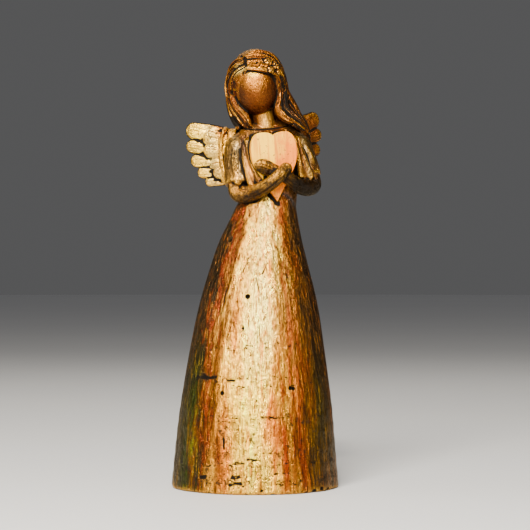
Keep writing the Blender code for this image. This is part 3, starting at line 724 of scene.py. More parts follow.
for x0, z0, x1, z1, radius, depth in marks["scratches"]:
    start, end = onGown(x0, z0), onGown(x1, z1)
    stroke = end - start
    t = np.clip((points - start) @ stroke / (stroke @ stroke), 0, 1)
    away = np.linalg.norm(points - start - t[:, None] * stroke, axis=1) / radius
    taper = np.clip(np.minimum(t, 1 - t) * 6 + 0.3, 0, 1)
    sink += depth * taper * np.clip(1 - away**2, 0, 1)
    darkMarks = np.maximum(darkMarks, 0.62 * taper * smoothStep(2.7, 0.2, away))
for x0, z0, x1, z1, radius, depth in marks["planes"]:  # long flats where the knife ran down the gown
    wanted = x0 + (x1 - x0) * (points[:, 2] - z0) / (z1 - z0)
    shift = np.abs(points @ rightWay - wanted) / radius
    fade = smoothStep(z0 + 6, z0 - 6, points[:, 2]) * smoothStep(z1 - 8, z1 + 8, points[:, 2])
    sink += depth * fade * np.clip(1 - shift**2, 0, 1) * (normals @ towardWay > 0.1)
for sideways, height, radius, depth in marks["chips"]:
    away = np.linalg.norm((points - onGown(sideways, height)) * (1, 1, 1.4), axis=1) / radius
    sink += depth * np.clip(1 - away**2, 0, 1)
    darkMarks = np.maximum(darkMarks, 0.8 * smoothStep(1.3, 0.6, away))
gownTurn = np.arctan2(points[:, 1], points[:, 0] - gownAxis(points[:, 2]))
uneven = np.zeros(len(points))
random = np.random.default_rng(7)
for k in range(16):
    sweepCount, riseRate, phase = random.integers(3, 26), random.uniform(0.01, 0.16), random.uniform(0, 6.3)
    uneven += (np.sin(sweepCount * gownTurn + riseRate * points[:, 2] + phase + 0.4
        * np.sin(points[:, 2] / 17 + k)) / 4)
sink += marks["unevenness"] * uneven * smoothStep(130, 118, points[:, 2])
rippled = np.sin(points[:, 2] / marks["ripple"] + 0.9 * np.sin(gownTurn * 5) + 0.5 * np.sin(gownTurn * 13))
sink += marks["rippleDepth"] * rippled * smoothStep(52, 34, points[:, 2]) * smoothStep(1, 6, points[:, 2])
points -= normals * sink[:, None]
points[:, 2] = np.maximum(points[:, 2], 0.0)
points[:, 2] = np.where(points[:, 2] < 0.12, 0.0, points[:, 2])  # the foot is flat
movePoints(figure.data, points * part)

links = linksOf(figure.data)
normals = normalsOf(figure.data)
ownPoints = pointsOf(figure.data) / part
reliefRounds = (3, 40, 160)  # of smoothing, which fine, broad and deep relief are measured against
fine, broad, deep = [((spread(ownPoints, links, rounds) - ownPoints) * normals).sum(1)
    for rounds in reliefRounds]
fine, broad = spread(fine, links, 2), spread(broad, links, 3)
darkMarks = np.maximum(darkMarks, 0.75 * spread(darkGrooves, links, 1))

print("stage 9: thinning and reading the relief")

kept = KDTree(len(ownPoints))
for i, p in enumerate(ownPoints):
    kept.insert(p, i)
kept.balance()
applyModifier(figure, "DECIMATE", ratio=min(1.0, carving["faces"] / (2 * len(figure.data.polygons))))
selectOnly(figure)
bpy.ops.object.shade_smooth()
print("  thinned to", len(figure.data.polygons), "faces")

heartPlace = (bustPlace @ Matrix.Translation((heart["middle"][0], -(chest - bust["seatDepth"]),
    heart["middle"][2])) @ turned(heart["tilt"], "Y"))


def heartOutline(grow, steps):
    half = []
    for x0, z0, x1, z1, x2, z2, x3, z3 in heart["halfLine"]:
        for i in range(steps):
            t = i / steps
            w = ((1 - t) ** 3, 3 * t * (1 - t) ** 2, 3 * t * t * (1 - t), t**3)
            half.append(Vector((sum(a * b for a, b in zip(w, (x0, x1, x2, x3))) * heart["width"],
                                sum(a * b for a, b in zip(w, (z0, z1, z2, z3))) * heart["height"])))
    half.append(Vector((0, -heart["height"] / 2)))
    moved = []
    for i, p in enumerate(half):
        way = (half[min(i + 1, len(half) - 1)] - half[max(i - 1, 0)]).normalized()
        moved.append(Vector((max(p.x - way.y * grow, 0), p.y + way.x * grow)))
    moved[0] = Vector((0, half[0].y + 2 * grow))
    moved[-1] = Vector((0, half[-1].y - 2 * grow))
    return moved + [Vector((-p.x, p.y)) for p in reversed(moved[1:-1])]


def heartBoard(name, grow, back, front, steps):
    # a disc whose rim is pushed into the heart's outline, then drawn forward to its thickness
    outline = heartOutline(grow, steps)
    nothingSelected()
    bpy.ops.mesh.primitive_circle_add(vertices=len(outline), radius=10, fill_type="NGON",
        rotation=(math.pi / 2, 0, 0))
    board = bpy.context.object
    settle()
    movePoints(board.data, np.array([(p.x, back, p.y) for p in outline]))
    editAll()
    bpy.ops.mesh.extrude_region_move(TRANSFORM_OT_translate={"value": (0, front - back, 0)})
    bpy.ops.mesh.select_all(action="SELECT")
    bpy.ops.mesh.normals_make_consistent(inside=False)
    leaveEdit()
    board.matrix_world = heartPlace
    board.name = board.data.name = name
    return board


cutter = heartBoard("seatCutter", heart["gap"], heart["gap"], -heart["thickness"] - heart["gap"], 6)
selectOnly(cutter)
settle()
selectOnly(figure)
applyModifier(figure, "BOOLEAN", operation="DIFFERENCE", object=cutter, solver="EXACT")
nothingSelected()
cutter.select_set(True)
bpy.ops.object.delete()
figure = largestSkin(figure)
sameCorners = {}
for polygon in figure.data.polygons:
    sameCorners.setdefault(tuple(sorted(polygon.vertices)), []).append(polygon.index)
bpy.ops.object.mode_set(mode="EDIT")
bpy.ops.mesh.select_mode(type="FACE")
bpy.ops.mesh.select_all(action="DESELECT")
leaveEdit()
for same in sameCorners.values():
    for number in same:
        figure.data.polygons[number].select = len(same) > 1
bpy.ops.object.mode_set(mode="EDIT")
bpy.ops.mesh.delete(type="FACE")
bpy.ops.mesh.delete_loose()
leaveEdit()
movePoints(figure.data, np.clip(pointsOf(figure.data), np.array(cadBox[0]), np.array(cadBox[1])))
print("  finished with", sum(len(p.vertices) - 2 for p in figure.data.polygons), "triangles")

print("stage 10: painting")

paints = {  # linear colours
    "pale": (0.98, 0.60, 0.045),
    "gold": (0.44, 0.165, 0.016),
    "copper": (0.19, 0.040, 0.006),
    "red": (0.24, 0.022, 0.004),
    "brown": (0.030, 0.011, 0.004),
    "black": (0.006, 0.004, 0.003),
    "green": (0.040, 0.050, 0.013),
    "silver": (0.46, 0.42, 0.28),
}
paints = {name: np.array(colour) for name, colour in paints.items()}

mesh = figure.data
points = pointsOf(mesh) / part
normals = normalsOf(mesh)
nearest = np.array([kept.find(p)[1] for p in points])
fine, broad, deep, darkMarks = fine[nearest], broad[nearest], deep[nearest], darkMarks[nearest]
nearFaces = np.array([formTree.find_nearest(Vector(p * part))[2] for p in points])
kinds, forms = sourceKinds[nearFaces], sourceForms[nearFaces]
runs, _, rim, ends = followRuns(points, forms)
runs[kinds == kindNames.index("face")] *= (2, 2, 28)  # the face has no brush marks along it
links = linksOf(mesh)
ownTree = BVHTree.FromPolygons([tuple(p) for p in points], [tuple(p.vertices) for p in mesh.polygons])
# ray-cast occlusion, laid into the colour below as painted shade in the recesses
shelter = {
    "rays": 12,  # from each point
    "directions": 64,  # to choose them from
    "reach": 7.0,
    "lift": 0.08,  # from the skin to where a ray starts
    "lowest": 116,  # the plain gown below has no shelter
}
random = np.random.default_rng(11)
rays = random.normal(size=(shelter["directions"], 3))
rays = [Vector(r / np.linalg.norm(r)) for r in rays]
occlusionShade = np.zeros(len(points))
for i in np.nonzero(points[:, 2] > shelter["lowest"])[0]:
    normal = Vector(normals[i])
    start = Vector(points[i]) + normal * shelter["lift"]
    hits = 0.0
    for k in range(shelter["rays"]):
        way = (rays[(i * 7 + k * 5) % shelter["directions"]] + normal * 1.02).normalized()
        hit = ownTree.ray_cast(start, way, shelter["reach"])[3]
        if hit is not None:
            hits += 1 - hit / shelter["reach"]
    occlusionShade[i] = hits / shelter["rays"]
occlusionShade = spread(occlusionShade, links, 3)
area = {name: spread((kinds == i).astype(float), links, 4, 0.7) for i, name in enumerate(kindNames)}


headPoints = inPlace(headPlace, points)
bustPoints = inPlace(bustPlace, points)
headNormals = normals @ np.array(headPlace.to_3x3()) / part
across = (points @ rightWay - gownAxis(points[:, 2]) * rightWay[0]) / np.maximum(gownRadius(points[:, 2]), 5)
facingView = normals @ towardWay
height = points[:, 2]


def blend(under, over, share):
    share = np.clip(share, 0, 1)[:, None]
    return under * (1 - share) + over * share


def bump(value, centre, half):
    return np.exp(-(((value - centre) / half) ** 2))


def wander(scaleX, scaleZ, seed, octaves=5):
    # a smooth wandering value in the gown's own turn and height
    made = np.random.default_rng(seed)
    total = np.zeros(len(points))
    for _ in range(octaves):
        direction = made.normal(size=3)
        direction /= np.linalg.norm(direction)
        phase = made.uniform(0, 6.3)
        total += np.sin((points * (1 / scaleX, 1 / scaleX, 1 / scaleZ)) @ direction * 2.2 + phase)
    return total / octaves


def tone(name, strength=1.0):
    return np.tile(paints[name] * strength, (len(points), 1))


# Painted shade: the gown is darker where it turns away from the view. The first tint below, with the share
# aside, lifts the far sides on the back, where the ramp's painted side shade would fall.
gownColour = blend(np.ones((len(points), 3)), np.array((0.52, 0.40, 0.26)),
smoothStep(0.15, -0.35, facingView))
aside = smoothStep(0.06, -0.22, facingView) * smoothStep(0.70, 0.95, np.abs(across))
gownTints = [  # each with its share, laid on in this order
    ((2.6, 2.1, 1.6), aside),
    ((0.45, 2.1, 1.0), 0.80 * bump(across, -0.84, 0.16) * smoothStep(80, 30, height)),
    ((0.42, 0.72, 0.50), 0.65 * bump(across, 0.52, 0.16) * bump(height, 100, 17)),
    ((0.50, 1.3, 0.60), 0.7 * bump(across, 0.80, 0.12) * bump(height, 34, 22)),
    ((1.0, 0.55, 0.38), 0.55 * smoothStep(0.25, 0.8, wander(7, 22, 16)) * bump(across, 0.25, 0.35)),
    ((0.62, 0.45, 0.36), 0.55 * smoothStep(0.10, 0.8, wander(6, 16, 6)) * smoothStep(46, 5, height)),
    ((0.60, 0.50, 0.45), 0.5 * smoothStep(0.2, 0.9, wander(6, 30, 15))),
]
for shade, amount in gownTints:
    gownColour = blend(gownColour, np.array(shade), amount)
gownGlazes = [  # each multiplies what is under it
    ((1.0, 0.90, 0.20), 0.92 * smoothStep(84, 40, height + 12 * wander(9, 20, 17))),
    # this glaze is kept off the middle of the front, where the painted highlight runs
    ((0.95, 0.68, 0.26), 0.60 * smoothStep(0.15, 0.6, wander(4, 26, 23))
    * smoothStep(0.05, 0.35, np.abs(across + 0.1))),
    ((0.50, 0.42, 0.40), 0.55 * smoothStep(0.25, 0.7, wander(3.4, 12, 24)) * smoothStep(112, 96, height)),
    ((1.0, 0.62, 0.30), 0.55 * smoothStep(0.25, 0.7, wander(5, 12, 18)) * smoothStep(60, 20, height)),
    ((1.0, 0.42, 0.25), 0.55 * bump(across, 0.16, 0.10) * bump(height, 28, 16)),
]
for shade, amount in gownGlazes:
    gownColour = blend(gownColour, gownColour * shade, amount)
colour = blend(tone("gold"), gownColour, area["gown"])

# Painted light on the face: red-brown shade below, then copper, then gold and a pale painted highlight where
# it faces up and forward. Painted shade darkens the face's sides.
faceLitShare = headNormals @ np.array([-0.10, -0.62, 0.78])
faceColour = blend(tone("red", 0.30), tone("copper", 0.65), smoothStep(-0.30, 0.45, faceLitShare))
faceColour = blend(faceColour, paints["gold"] * (1.05, 0.95, 0.5), smoothStep(0.42, 0.85, faceLitShare))
faceColour = blend(faceColour, paints["pale"] * (0.95, 0.95, 0.5), smoothStep(0.80, 0.97, faceLitShare))
faceColour = blend(faceColour, paints["brown"] * 1.6, 0.6
    * smoothStep(0.40, 0.90, np.abs(headNormals[:, 0] - 0.06)))
colour = blend(colour, faceColour, area["face"])

# painted highlight: the hair is gold where it faces up and forward, copper below
hairLitShare = smoothStep(-0.1, 0.85, normals @ np.array([-0.1, -0.5, 0.86]))
hairColour = blend(tone("copper", 0.30), tone("gold", 0.70), 0.05 + 0.75 * hairLitShare**1.5 + 0.30
    * wander(3, 6, 8))
hairColour = blend(hairColour, paints["copper"] * 0.8, 0.6 * smoothStep(0.0, 0.7, wander(4, 9, 31)))
hairColour = blend(hairColour, paints["red"] * 0.7, 0.55 * smoothStep(7, -5, headPoints[:, 2])
    * (0.5 + 0.5 * wander(4, 7, 9)))
# painted shade where the hair turns sideways to the view
hairColour = blend(hairColour, paints["brown"], 0.6 * smoothStep(0.62, 0.95, np.abs(normals @ rightWay)))
hairColour = blend(hairColour, paints["brown"] * 1.4, 0.85 * smoothStep(7, 10, headPoints[:, 0])
    * smoothStep(-5, -10, headPoints[:, 2]) * (0.75 + 0.5 * wander(3, 5, 41)))
hairColour = hairColour * (0.82, 0.82, 0.46) * (1 + 0.55 * area["fringe"])[:, None]
leftLocks = smoothStep(-4, -7, headPoints[:, 0]) * smoothStep(-3, -8, headPoints[:, 2])
hairColour = blend(hairColour, paints["brown"] * (1.6, 1.5, 0.9), 0.80 * leftLocks
    * (0.8 + 0.5 * wander(3, 5, 43)))
colour = blend(colour, hairColour, area["hair"] + area["fringe"])
# a painted highlight along one fringe lock left of the parting
highlightedLock = bump(headPoints[:, 0], -6.8, 2.8) * bump(headPoints[:, 2], 8.8, 2.2) * (headPoints[:, 1] < -4)
colour = blend(colour, np.array((0.95, 0.66, 0.13)), 0.95 * area["fringe"] * highlightedLock)
colour = blend(colour, paints["gold"] * 1.4, 0.85 * area["blossom"])

bodiceColour = blend(tone("brown", 1.8), tone("gold", 0.75), 0.35 + 0.6 * wander(4, 9, 10))
bodiceColour = blend(bodiceColour, paints["copper"], 0.6 * smoothStep(0.1, 0.7, wander(5, 11, 20)))
# painted highlights down the outer folds of both sleeves
bodiceColour = blend(bodiceColour, np.array((0.50, 0.34, 0.13)), 0.45 * bump(bustPoints[:, 0], -16.5, 1.4)
    + 0.40 * bump(bustPoints[:, 0], 15.5, 1.2))
bodiceColour = blend(bodiceColour, paints["green"], 0.35 * smoothStep(12, 20, np.abs(bustPoints[:, 0])))
colour = blend(colour, bodiceColour, area["bodice"])
# a painted highlight down the middle of the neck
skinWithHighlight = blend(tone("copper"), np.array((0.95, 0.50, 0.07)), bump(bustPoints[:, 0], -0.2, 2.9)
    * smoothStep(20, 25, bustPoints[:, 2]))
colour = blend(colour, skinWithHighlight, area["skin"])
# painted light on the arms: gold where they face up, dark brown beneath
armColour = blend(tone("brown", 0.6), paints["gold"] * (0.85, 0.95, 0.8), smoothStep(0.22, 0.80, normals
    @ np.array([-0.2, -0.45, 0.87])))
# painted shade: near black on the arms low on the right of the crossing
armColour = blend(armColour, np.array((0.010, 0.0045, 0.002)), 0.97 * smoothStep(2, 7, bustPoints[:, 0])
    * smoothStep(5.5, 3.0, bustPoints[:, 2]))
colour = blend(colour, armColour, area["arm"])
leftWingColour = blend(tone("pale", 0.95), np.array((0.78, 0.36, 0.014)),
    smoothStep(-23, -17, bustPoints[:, 0]))
leftWingColour = blend(leftWingColour, paints["silver"], 0.35 * bump(bustPoints[:, 0], -22.5, 2.5))
leftWingColour = blend(leftWingColour, paints["copper"] * 1.6, 0.8 * bump(bustPoints[:, 0], -17.5, 2.6)
    * smoothStep(20, 24, bustPoints[:, 2]))
leftWingColour = blend(leftWingColour, paints["green"], 0.4 * smoothStep(-27, -31, bustPoints[:, 0]))
colour = blend(colour, leftWingColour, area["leftWing"] * smoothStep(0.35, -0.2, normals[:, 1]))
wingBackColour = blend(tone("copper", 0.8), tone("gold", 0.7), 0.30 + 0.5 * wander(4, 4, 13))
colour = blend(colour, wingBackColour, area["rightWing"] + area["leftWing"]
    * smoothStep(-0.2, 0.35, normals[:, 1]))

# dark in hollows: the black under-paint that shows in recesses, with the occlusion's painted shade added
hollow = (smoothStep(0.020, 0.10, fine) * 0.5 + smoothStep(0.06, 0.36, broad) + 0.8
    * smoothStep(0.4, 1.4, deep))
hollow = np.clip(hollow + 1.1 * smoothStep(0.22, 0.60, occlusionShade), 0, 1)
hollow = np.clip(spread(hollow, links, 1, 0.5) + darkMarks, 0, 1)
onHead = (area["hair"] + area["fringe"] + area["blossom"]) > 0.4
# painted shadow: a dark line down the parting of the hair
partingShadow = (smoothStep(0.9, 0.3, np.abs(headPoints[:, 0] + 4.0)) * smoothStep(9.5, 10.5, headPoints[:, 2])
    * smoothStep(16.5, 13, headPoints[:, 2]))
hollow = np.maximum(hollow, partingShadow * (headPoints[:, 1] < -4) * onHead)
shaded = (smoothStep(-10.5, -12.5, headPoints[:, 2]) * smoothStep(-17.5, -15.5, headPoints[:, 2])
    * smoothStep(-9.6, -10.8, headPoints[:, 0]) * (headPoints[:, 1] < 6))
hollow = np.maximum(hollow, shaded * onHead)
for x, z, radius in blossoms["places"]:
    flatBack = np.array(blossomPlace(Matrix.Identity(4), x, z).inverted())
    onFlat = headPoints @ flatBack[:3, :3].T + flatBack[:3, 3]
    turnOnFlat = np.arctan2(onFlat[:, 1], onFlat[:, 0])
    out = np.linalg.norm(onFlat[:, :2], axis=1) / radius
    between = np.abs(np.sin(blossoms["petals"] * turnOnFlat / 2))
    dark = np.maximum(smoothStep(0.80, 0.97, between) * smoothStep(0.30, 0.45, out),
        smoothStep(0.92, 1.04, out))
    dark = np.maximum(dark, smoothStep(0.12, 0.05, np.abs(out - 0.34)))
    near = (out < 1.22) * (np.abs(onFlat[:, 2]) < 2.0)
    hollow = np.where(near, np.maximum(0.5 * hollow, dark), hollow)
heartBack = inPlace(heartPlace, points)
outline = np.array([(p.x, p.y) for p in heartOutline(0.0, 12)])
nearRim = np.sqrt(((heartBack[:, None, [0, 2]] - outline[None]) ** 2).sum(2).min(1))
# painted shade in the pocket left of the heart's tip, under the forearms
tipPocketShade = ((heartBack[:, 2] < -5.5) * (heartBack[:, 0] < 1.0) * (np.abs(heartBack[:, 1]) < 8.0)
    * (area["arm"] < 0.3))
hollow = np.maximum(hollow, smoothStep(2.9, 1.3, nearRim) * tipPocketShade)
# painted shadow in the gap around the heart's outline
hollow = np.maximum(hollow, smoothStep(0.85, 0.5, nearRim) * (np.abs(heartBack[:, 1]) < 6.0)
    * (area["arm"] < 0.3))
onWing = area["leftWing"] + area["rightWing"]
coverts = np.isin(forms, [i for i, run in enumerate(runsOf) if run and run.get("covert")])
edged = np.where(coverts, smoothStep(0.88, 1.0, rim) * smoothStep(0.40, 0.65, ends),
    smoothStep(0.84, 0.96, rim) + smoothStep(0.03, 0.12, broad))
hollow = np.where(onWing > 0.5, 0.35 * hollow * coverts + hollow * ~coverts, hollow)
hollow = np.maximum(hollow, onWing * np.clip(edged, 0, 1))
hollow = np.where((highlightedLock > 0.4) * (area["fringe"] > 0.4) * (occlusionShade < 0.3), 0.55 * hollow, hollow)
ridge = (np.clip(smoothStep(0.015, 0.09, -fine) * 0.7 + smoothStep(0.05, 0.35, -broad) * 0.6, 0, 1)
    * (1 - hollow))
# the dry-brushed gold ridges are kept out of the arms' painted shade and off their undersides
shadedArm = area["arm"] * smoothStep(2, 7, bustPoints[:, 0]) * smoothStep(5.5, 3.0, bustPoints[:, 2])
ridge = ridge * (1 - 0.9 * shadedArm) * (1 - 0.7 * area["arm"] * smoothStep(0.25, -0.2, normals[:, 2]))
changing = forms[links[:, 0]] != forms[links[:, 1]]
seam = np.zeros(len(points))
seam[links[changing].ravel()] = 1.0
seam = np.clip(1.6 * spread(seam, links, 2, 0.7), 0, 1)
speckle = (0.30 + 0.55 * area["gown"] * smoothStep(60, 6, height + 10 * wander(5, 10, 51)) + 0.80
    * area["arm"] + 0.45 * area["leftWing"] * bump(bustPoints[:, 0], -22, 3))
speckle = speckle + 0.35 * area["bodice"] - 0.25 * area["face"]
bandHeights = [(65, 2.0), (51, 1.6), (47.5, 1.0), (33, 2.2), (13, 2.0), (18, 1.2), (5, 2.2)]
tooled = sum(bump(height, h, w) for h, w in bandHeights) * area["gown"]


def addColours(mesh, name, rows):
    layer = mesh.color_attributes.new(name, "FLOAT_COLOR", "POINT")
    full = np.ones((len(mesh.vertices), 4), np.float32)
    full[:, :3] = np.clip(rows, 0, 3)
    layer.data.foreach_set("color", full.ravel())


addColours(mesh, "paint", colour)
# dark in hollows with its painted shade, the dry-brushed ridges less the arms' painted shade, and the gown's
# share
addColours(mesh, "shadeAndWear", np.stack([hollow, ridge, area["gown"]], axis=1))
onlyHair = np.clip(area["hair"] + area["fringe"] - 1.6 * area["blossom"], 0, 1)
addColours(mesh, "marks", np.stack([speckle, tooled, onlyHair], axis=1))
# the zone's first value places the gown's painted highlight and side shade, as the view sees it
zoneLayer = mesh.attributes.new("zone", "FLOAT_VECTOR", "POINT")
zoneRows = np.stack([across / 2 + 0.5, np.clip(1 - 0.65 * area["face"] - 0.3 * area["skin"], 0, 1)
    * (1 - 0.92 * seam), onlyHair], axis=1)
zoneLayer.data.foreach_set("vector", zoneRows.astype(np.float32).ravel())
strandLayer = mesh.attributes.new("strand", "FLOAT_VECTOR", "POINT")
strandLayer.data.foreach_set("vector", (runs * part).astype(np.float32).ravel())

print("stage 11: wooden heart")

heartPiece = heartBoard("heartBoard", 0.0, 0.0, -heart["thickness"], 14)
selectOnly(heartPiece)
settle()
bpy.ops.object.mode_set(mode="EDIT")
bpy.ops.mesh.select_all(action="DESELECT")
leaveEdit()
faceWay = (heartPlace.to_3x3() @ Vector((0, -1, 0))).normalized()
for polygon in heartPiece.data.polygons:
    polygon.select = abs(polygon.normal.dot(faceWay)) > 0.9
bpy.ops.object.mode_set(mode="EDIT")
bpy.ops.mesh.select_mode(type="FACE")
bpy.ops.mesh.inset(thickness=heart["rim"] * part, depth=0)
leaveEdit()
middle = np.array(heartPlace @ Vector((0, -heart["thickness"] / 2, 0)))
shape = pointsOf(heartPiece.data)
offset = (shape - middle) @ np.array(faceWay)
onRim = np.zeros(len(shape), bool)
for polygon in heartPiece.data.polygons:
    if abs(polygon.normal.dot(faceWay)) < 0.9:
        onRim[list(polygon.vertices)] = True
shape[onRim] -= np.outer(np.sign(offset[onRim]), np.array(faceWay)) * heart["rim"] * 0.75 * part
movePoints(heartPiece.data, shape)
selectOnly(heartPiece)
editAll()
bpy.ops.mesh.quads_convert_to_tris(ngon_method="BEAUTY")
bpy.ops.mesh.normals_make_consistent(inside=False)
leaveEdit()
bpy.ops.object.shade_smooth_by_angle(angle=math.radians(30))

print("stage 12: materials")


def newMaterial(name):
    made = bpy.data.materials.new(name)
    made.use_nodes = True
    tree = made.node_tree
    tree.nodes.clear()
    output = tree.nodes.new("ShaderNodeOutputMaterial")
    shader = tree.nodes.new("ShaderNodeBsdfPrincipled")
    tree.links.new(shader.outputs[0], output.inputs["Surface"])
    return made, tree, shader


class Graph:
    def __init__(self, tree):
        self.tree = tree

    def link(self, source, target):
        self.tree.links.new(source, target)

    def put(self, socket, value):
        if isinstance(value, bpy.types.NodeSocket):
            self.link(value, socket)
        else:
            socket.default_value = value

    def objectPlace(self):
        return self.tree.nodes.new("ShaderNodeTexCoord").outputs["Object"]

    def noise(self, scale, stretch=(1, 1, 1), detail=4, roughness=0.55, distortion=0.0, source=None):
        mapping = self.tree.nodes.new("ShaderNodeMapping")
        self.link(source or self.objectPlace(), mapping.inputs["Vector"])
        mapping.inputs["Scale"].default_value = stretch
        node = self.tree.nodes.new("ShaderNodeTexNoise")
        self.link(mapping.outputs[0], node.inputs["Vector"])
        node.inputs["Scale"].default_value = scale
        node.inputs["Detail"].default_value = detail
        node.inputs["Roughness"].default_value = roughness
        node.inputs["Distortion"].default_value = distortion
        return node.outputs["Fac"]

    def steps(self, value, low, high):
        node = self.tree.nodes.new("ShaderNodeMapRange")
        node.interpolation_type = "SMOOTHSTEP"
        self.put(node.inputs["Value"], value)
        node.inputs["From Min"].default_value = low
        node.inputs["From Max"].default_value = high
        return node.outputs[0]

    def maths(self, operation, first, second):
        node = self.tree.nodes.new("ShaderNodeMath")
        node.operation = operation
        self.put(node.inputs[0], first)
        self.put(node.inputs[1], second)
        return node.outputs[0]

    def times(self, first, second):
        return self.maths("MULTIPLY", first, second)

    def plus(self, first, second):
        return self.maths("ADD", first, second)

    def minus(self, first, second):
        return self.maths("SUBTRACT", first, second)

    def larger(self, first, second):
        return self.maths("MAXIMUM", first, second)

    def mix(self, share, under, over, kind="MIX"):
        node = self.tree.nodes.new("ShaderNodeMix")
        node.data_type = "RGBA"
        node.blend_type = kind
        self.put(node.inputs[0], share)
        self.put(node.inputs[6], under)
        self.put(node.inputs[7], over)
        return node.outputs[2]

    def glaze(self, share, under, colour):
        # a colour that multiplies what is under it
        return self.mix(share, under, self.mix(1.0, under, opaque(colour), "MULTIPLY"))

    def attribute(self, name, output="Color"):
        node = self.tree.nodes.new("ShaderNodeAttribute")
        node.attribute_name = name
        return node.outputs[output]

    def bump(self, height, strength, distance, under=None):
        node = self.tree.nodes.new("ShaderNodeBump")
        node.inputs["Strength"].default_value = strength
        node.inputs["Distance"].default_value = distance
        self.link(height, node.inputs["Height"])
        if under:
            self.link(under, node.inputs["Normal"])
        return node.outputs[0]


def opaque(colour):
    return (*[float(v) for v in colour], 1.0)


gownLitBands = [  # the gown's colours from side to side as the view sees it, linear: the bright middle is a painted highlight down the front, the dark ends painted shade at both sides, over the paint's own colours
    (0.00, (0.030, 0.015, 0.005)), (0.05, (0.032, 0.020, 0.007)), (0.10, (0.070, 0.020, 0.005)),
    (0.155, (0.230, 0.034, 0.004)),
    (0.20, (0.130, 0.042, 0.005)), (0.255, (0.360, 0.145, 0.013)), (0.32, (0.820, 0.420, 0.040)),
    (0.43, (0.980, 0.700, 0.120)),
    (0.53, (0.980, 0.760, 0.180)), (0.61, (0.930, 0.540, 0.080)), (0.68, (0.580, 0.270, 0.025)),
    (0.74, (0.300, 0.105, 0.009)),
    (0.80, (0.240, 0.050, 0.005)), (0.86, (0.150, 0.060, 0.008)), (0.92, (0.055, 0.022, 0.005)),
    (1.00, (0.026, 0.012, 0.004)),
]
metal = {
    "hairScale": 1500,  # brush hairs
    "streakScale": 420,
    "blotchScale": 190,
    "speckScale": 780,
    "metallic": 0.84,
    "roughness": 0.24,
    "shine": (1.0, 0.88, 0.66),  # the tint of what it reflects
    "hairRelief": 0.00045,
    "streakRelief": 0.00110,
    "lumpRelief": 0.00110,
    "shadeAndGrimeRelief": -0.00012,
}
paintMaterial, tree, shader = newMaterial("brushedMetalPaint")
g = Graph(tree)


def threeOf(name):
    split = tree.nodes.new("ShaderNodeSeparateColor")
    g.link(g.attribute(name), split.inputs[0])
    return split.outputs[0], split.outputs[1], split.outputs[2]


def alongStrand(scale, stretch, detail=3, roughness=0.55, distortion=0.0):
    return g.noise(scale, stretch, detail, roughness, distortion, g.attribute("strand", "Vector"))


hollowIn, ridgeIn, gownIn = threeOf("shadeAndWear")
speckIn, toolIn, hairIn = threeOf("marks")
paintIn = g.attribute("paint")
brushHairs = alongStrand(metal["hairScale"], (1, 1, 0.05), 3, 0.6)
streaks = alongStrand(metal["streakScale"], (1, 1, 0.06), 4, 0.6, 0.3)
bands = alongStrand(metal["blotchScale"], (1, 1, 0.10), 3, 0.5)
blotches = g.noise(metal["blotchScale"] * 2.2, (1, 1, 1), 4, 0.6)
lumps = g.noise(620, (1, 1, 0.6), 3, 0.6)
specks = g.noise(metal["speckScale"], (1, 1, 0.8), 2, 0.5)
zoneAxes = tree.nodes.new("ShaderNodeSeparateXYZ")
g.link(g.attribute("zone", "Vector"), zoneAxes.inputs[0])
reliefIn, onHairIn = zoneAxes.outputs[1], zoneAxes.outputs[2]  # the relief fades at a seam between forms
# the gown's painted highlight and side shade are read off the zone's first value, where a point lies across
# the gown as the view sees it
shifted = g.plus(zoneAxes.outputs[0], g.times(g.minus(bands, 0.5), 0.42))
shifted = g.plus(shifted, g.times(g.minus(streaks, 0.5), 0.40))
ramp = tree.nodes.new("ShaderNodeValToRGB")
stops = ramp.color_ramp.elements
while len(stops) < len(gownLitBands):
    stops.new(0.5)
for stop, (at, shade) in zip(stops, gownLitBands):
    stop.position = at
for stop, (at, shade) in zip(stops, gownLitBands):
    stop.color = opaque(shade)
g.link(shifted, ramp.inputs[0])
goldDust = alongStrand(800, (1, 1, 0.035), 3, 0.6)
dusted = g.mix(g.times(g.steps(goldDust, 0.53, 0.66), 0.68), ramp.outputs[0], opaque(paints["gold"]))
base = g.mix(gownIn, paintIn, g.mix(1.0, paintIn, dusted, "MULTIPLY"))
redStreaks = g.times(g.steps(streaks, 0.52, 0.70), g.times(gownIn, 0.45))
tinted = g.glaze(redStreaks, base, (1.0, 0.36, 0.16))
paleStreaks = g.times(g.steps(bands, 0.50, 0.70), 0.55)
tinted = g.glaze(paleStreaks, tinted, (1.6, 1.7, 1.5))
highlights = g.times(g.steps(alongStrand(900, (1, 1, 0.05), 2, 0.5), 0.56, 0.66), g.times(hairIn, 0.85))
tinted = g.mix(highlights, tinted, opaque((0.72, 0.33, 0.022)))
darkStreaks = g.times(g.steps(brushHairs, 0.52, 0.34), 0.80)
tinted = g.glaze(darkStreaks, tinted, (0.30, 0.18, 0.12))
tinted = g.glaze(g.times(g.steps(blotches, 0.56, 0.70), 0.50), tinted, (0.42, 0.26, 0.17))
ridgeShare = g.times(ridgeIn, g.minus(0.85, g.times(onHairIn, 0.40)))
worn = g.mix(onHairIn, opaque(paints["gold"] * 0.7 + paints["pale"] * 0.3), opaque((0.40, 0.125, 0.009)))
tinted = g.mix(g.times(ridgeShare, g.steps(brushHairs, 0.35, 0.55)), tinted, worn)
hairLines = g.times(g.steps(alongStrand(1100, (1, 0.6, 0.045), 2, 0.5), 0.49, 0.38), g.times(hairIn, 0.95))
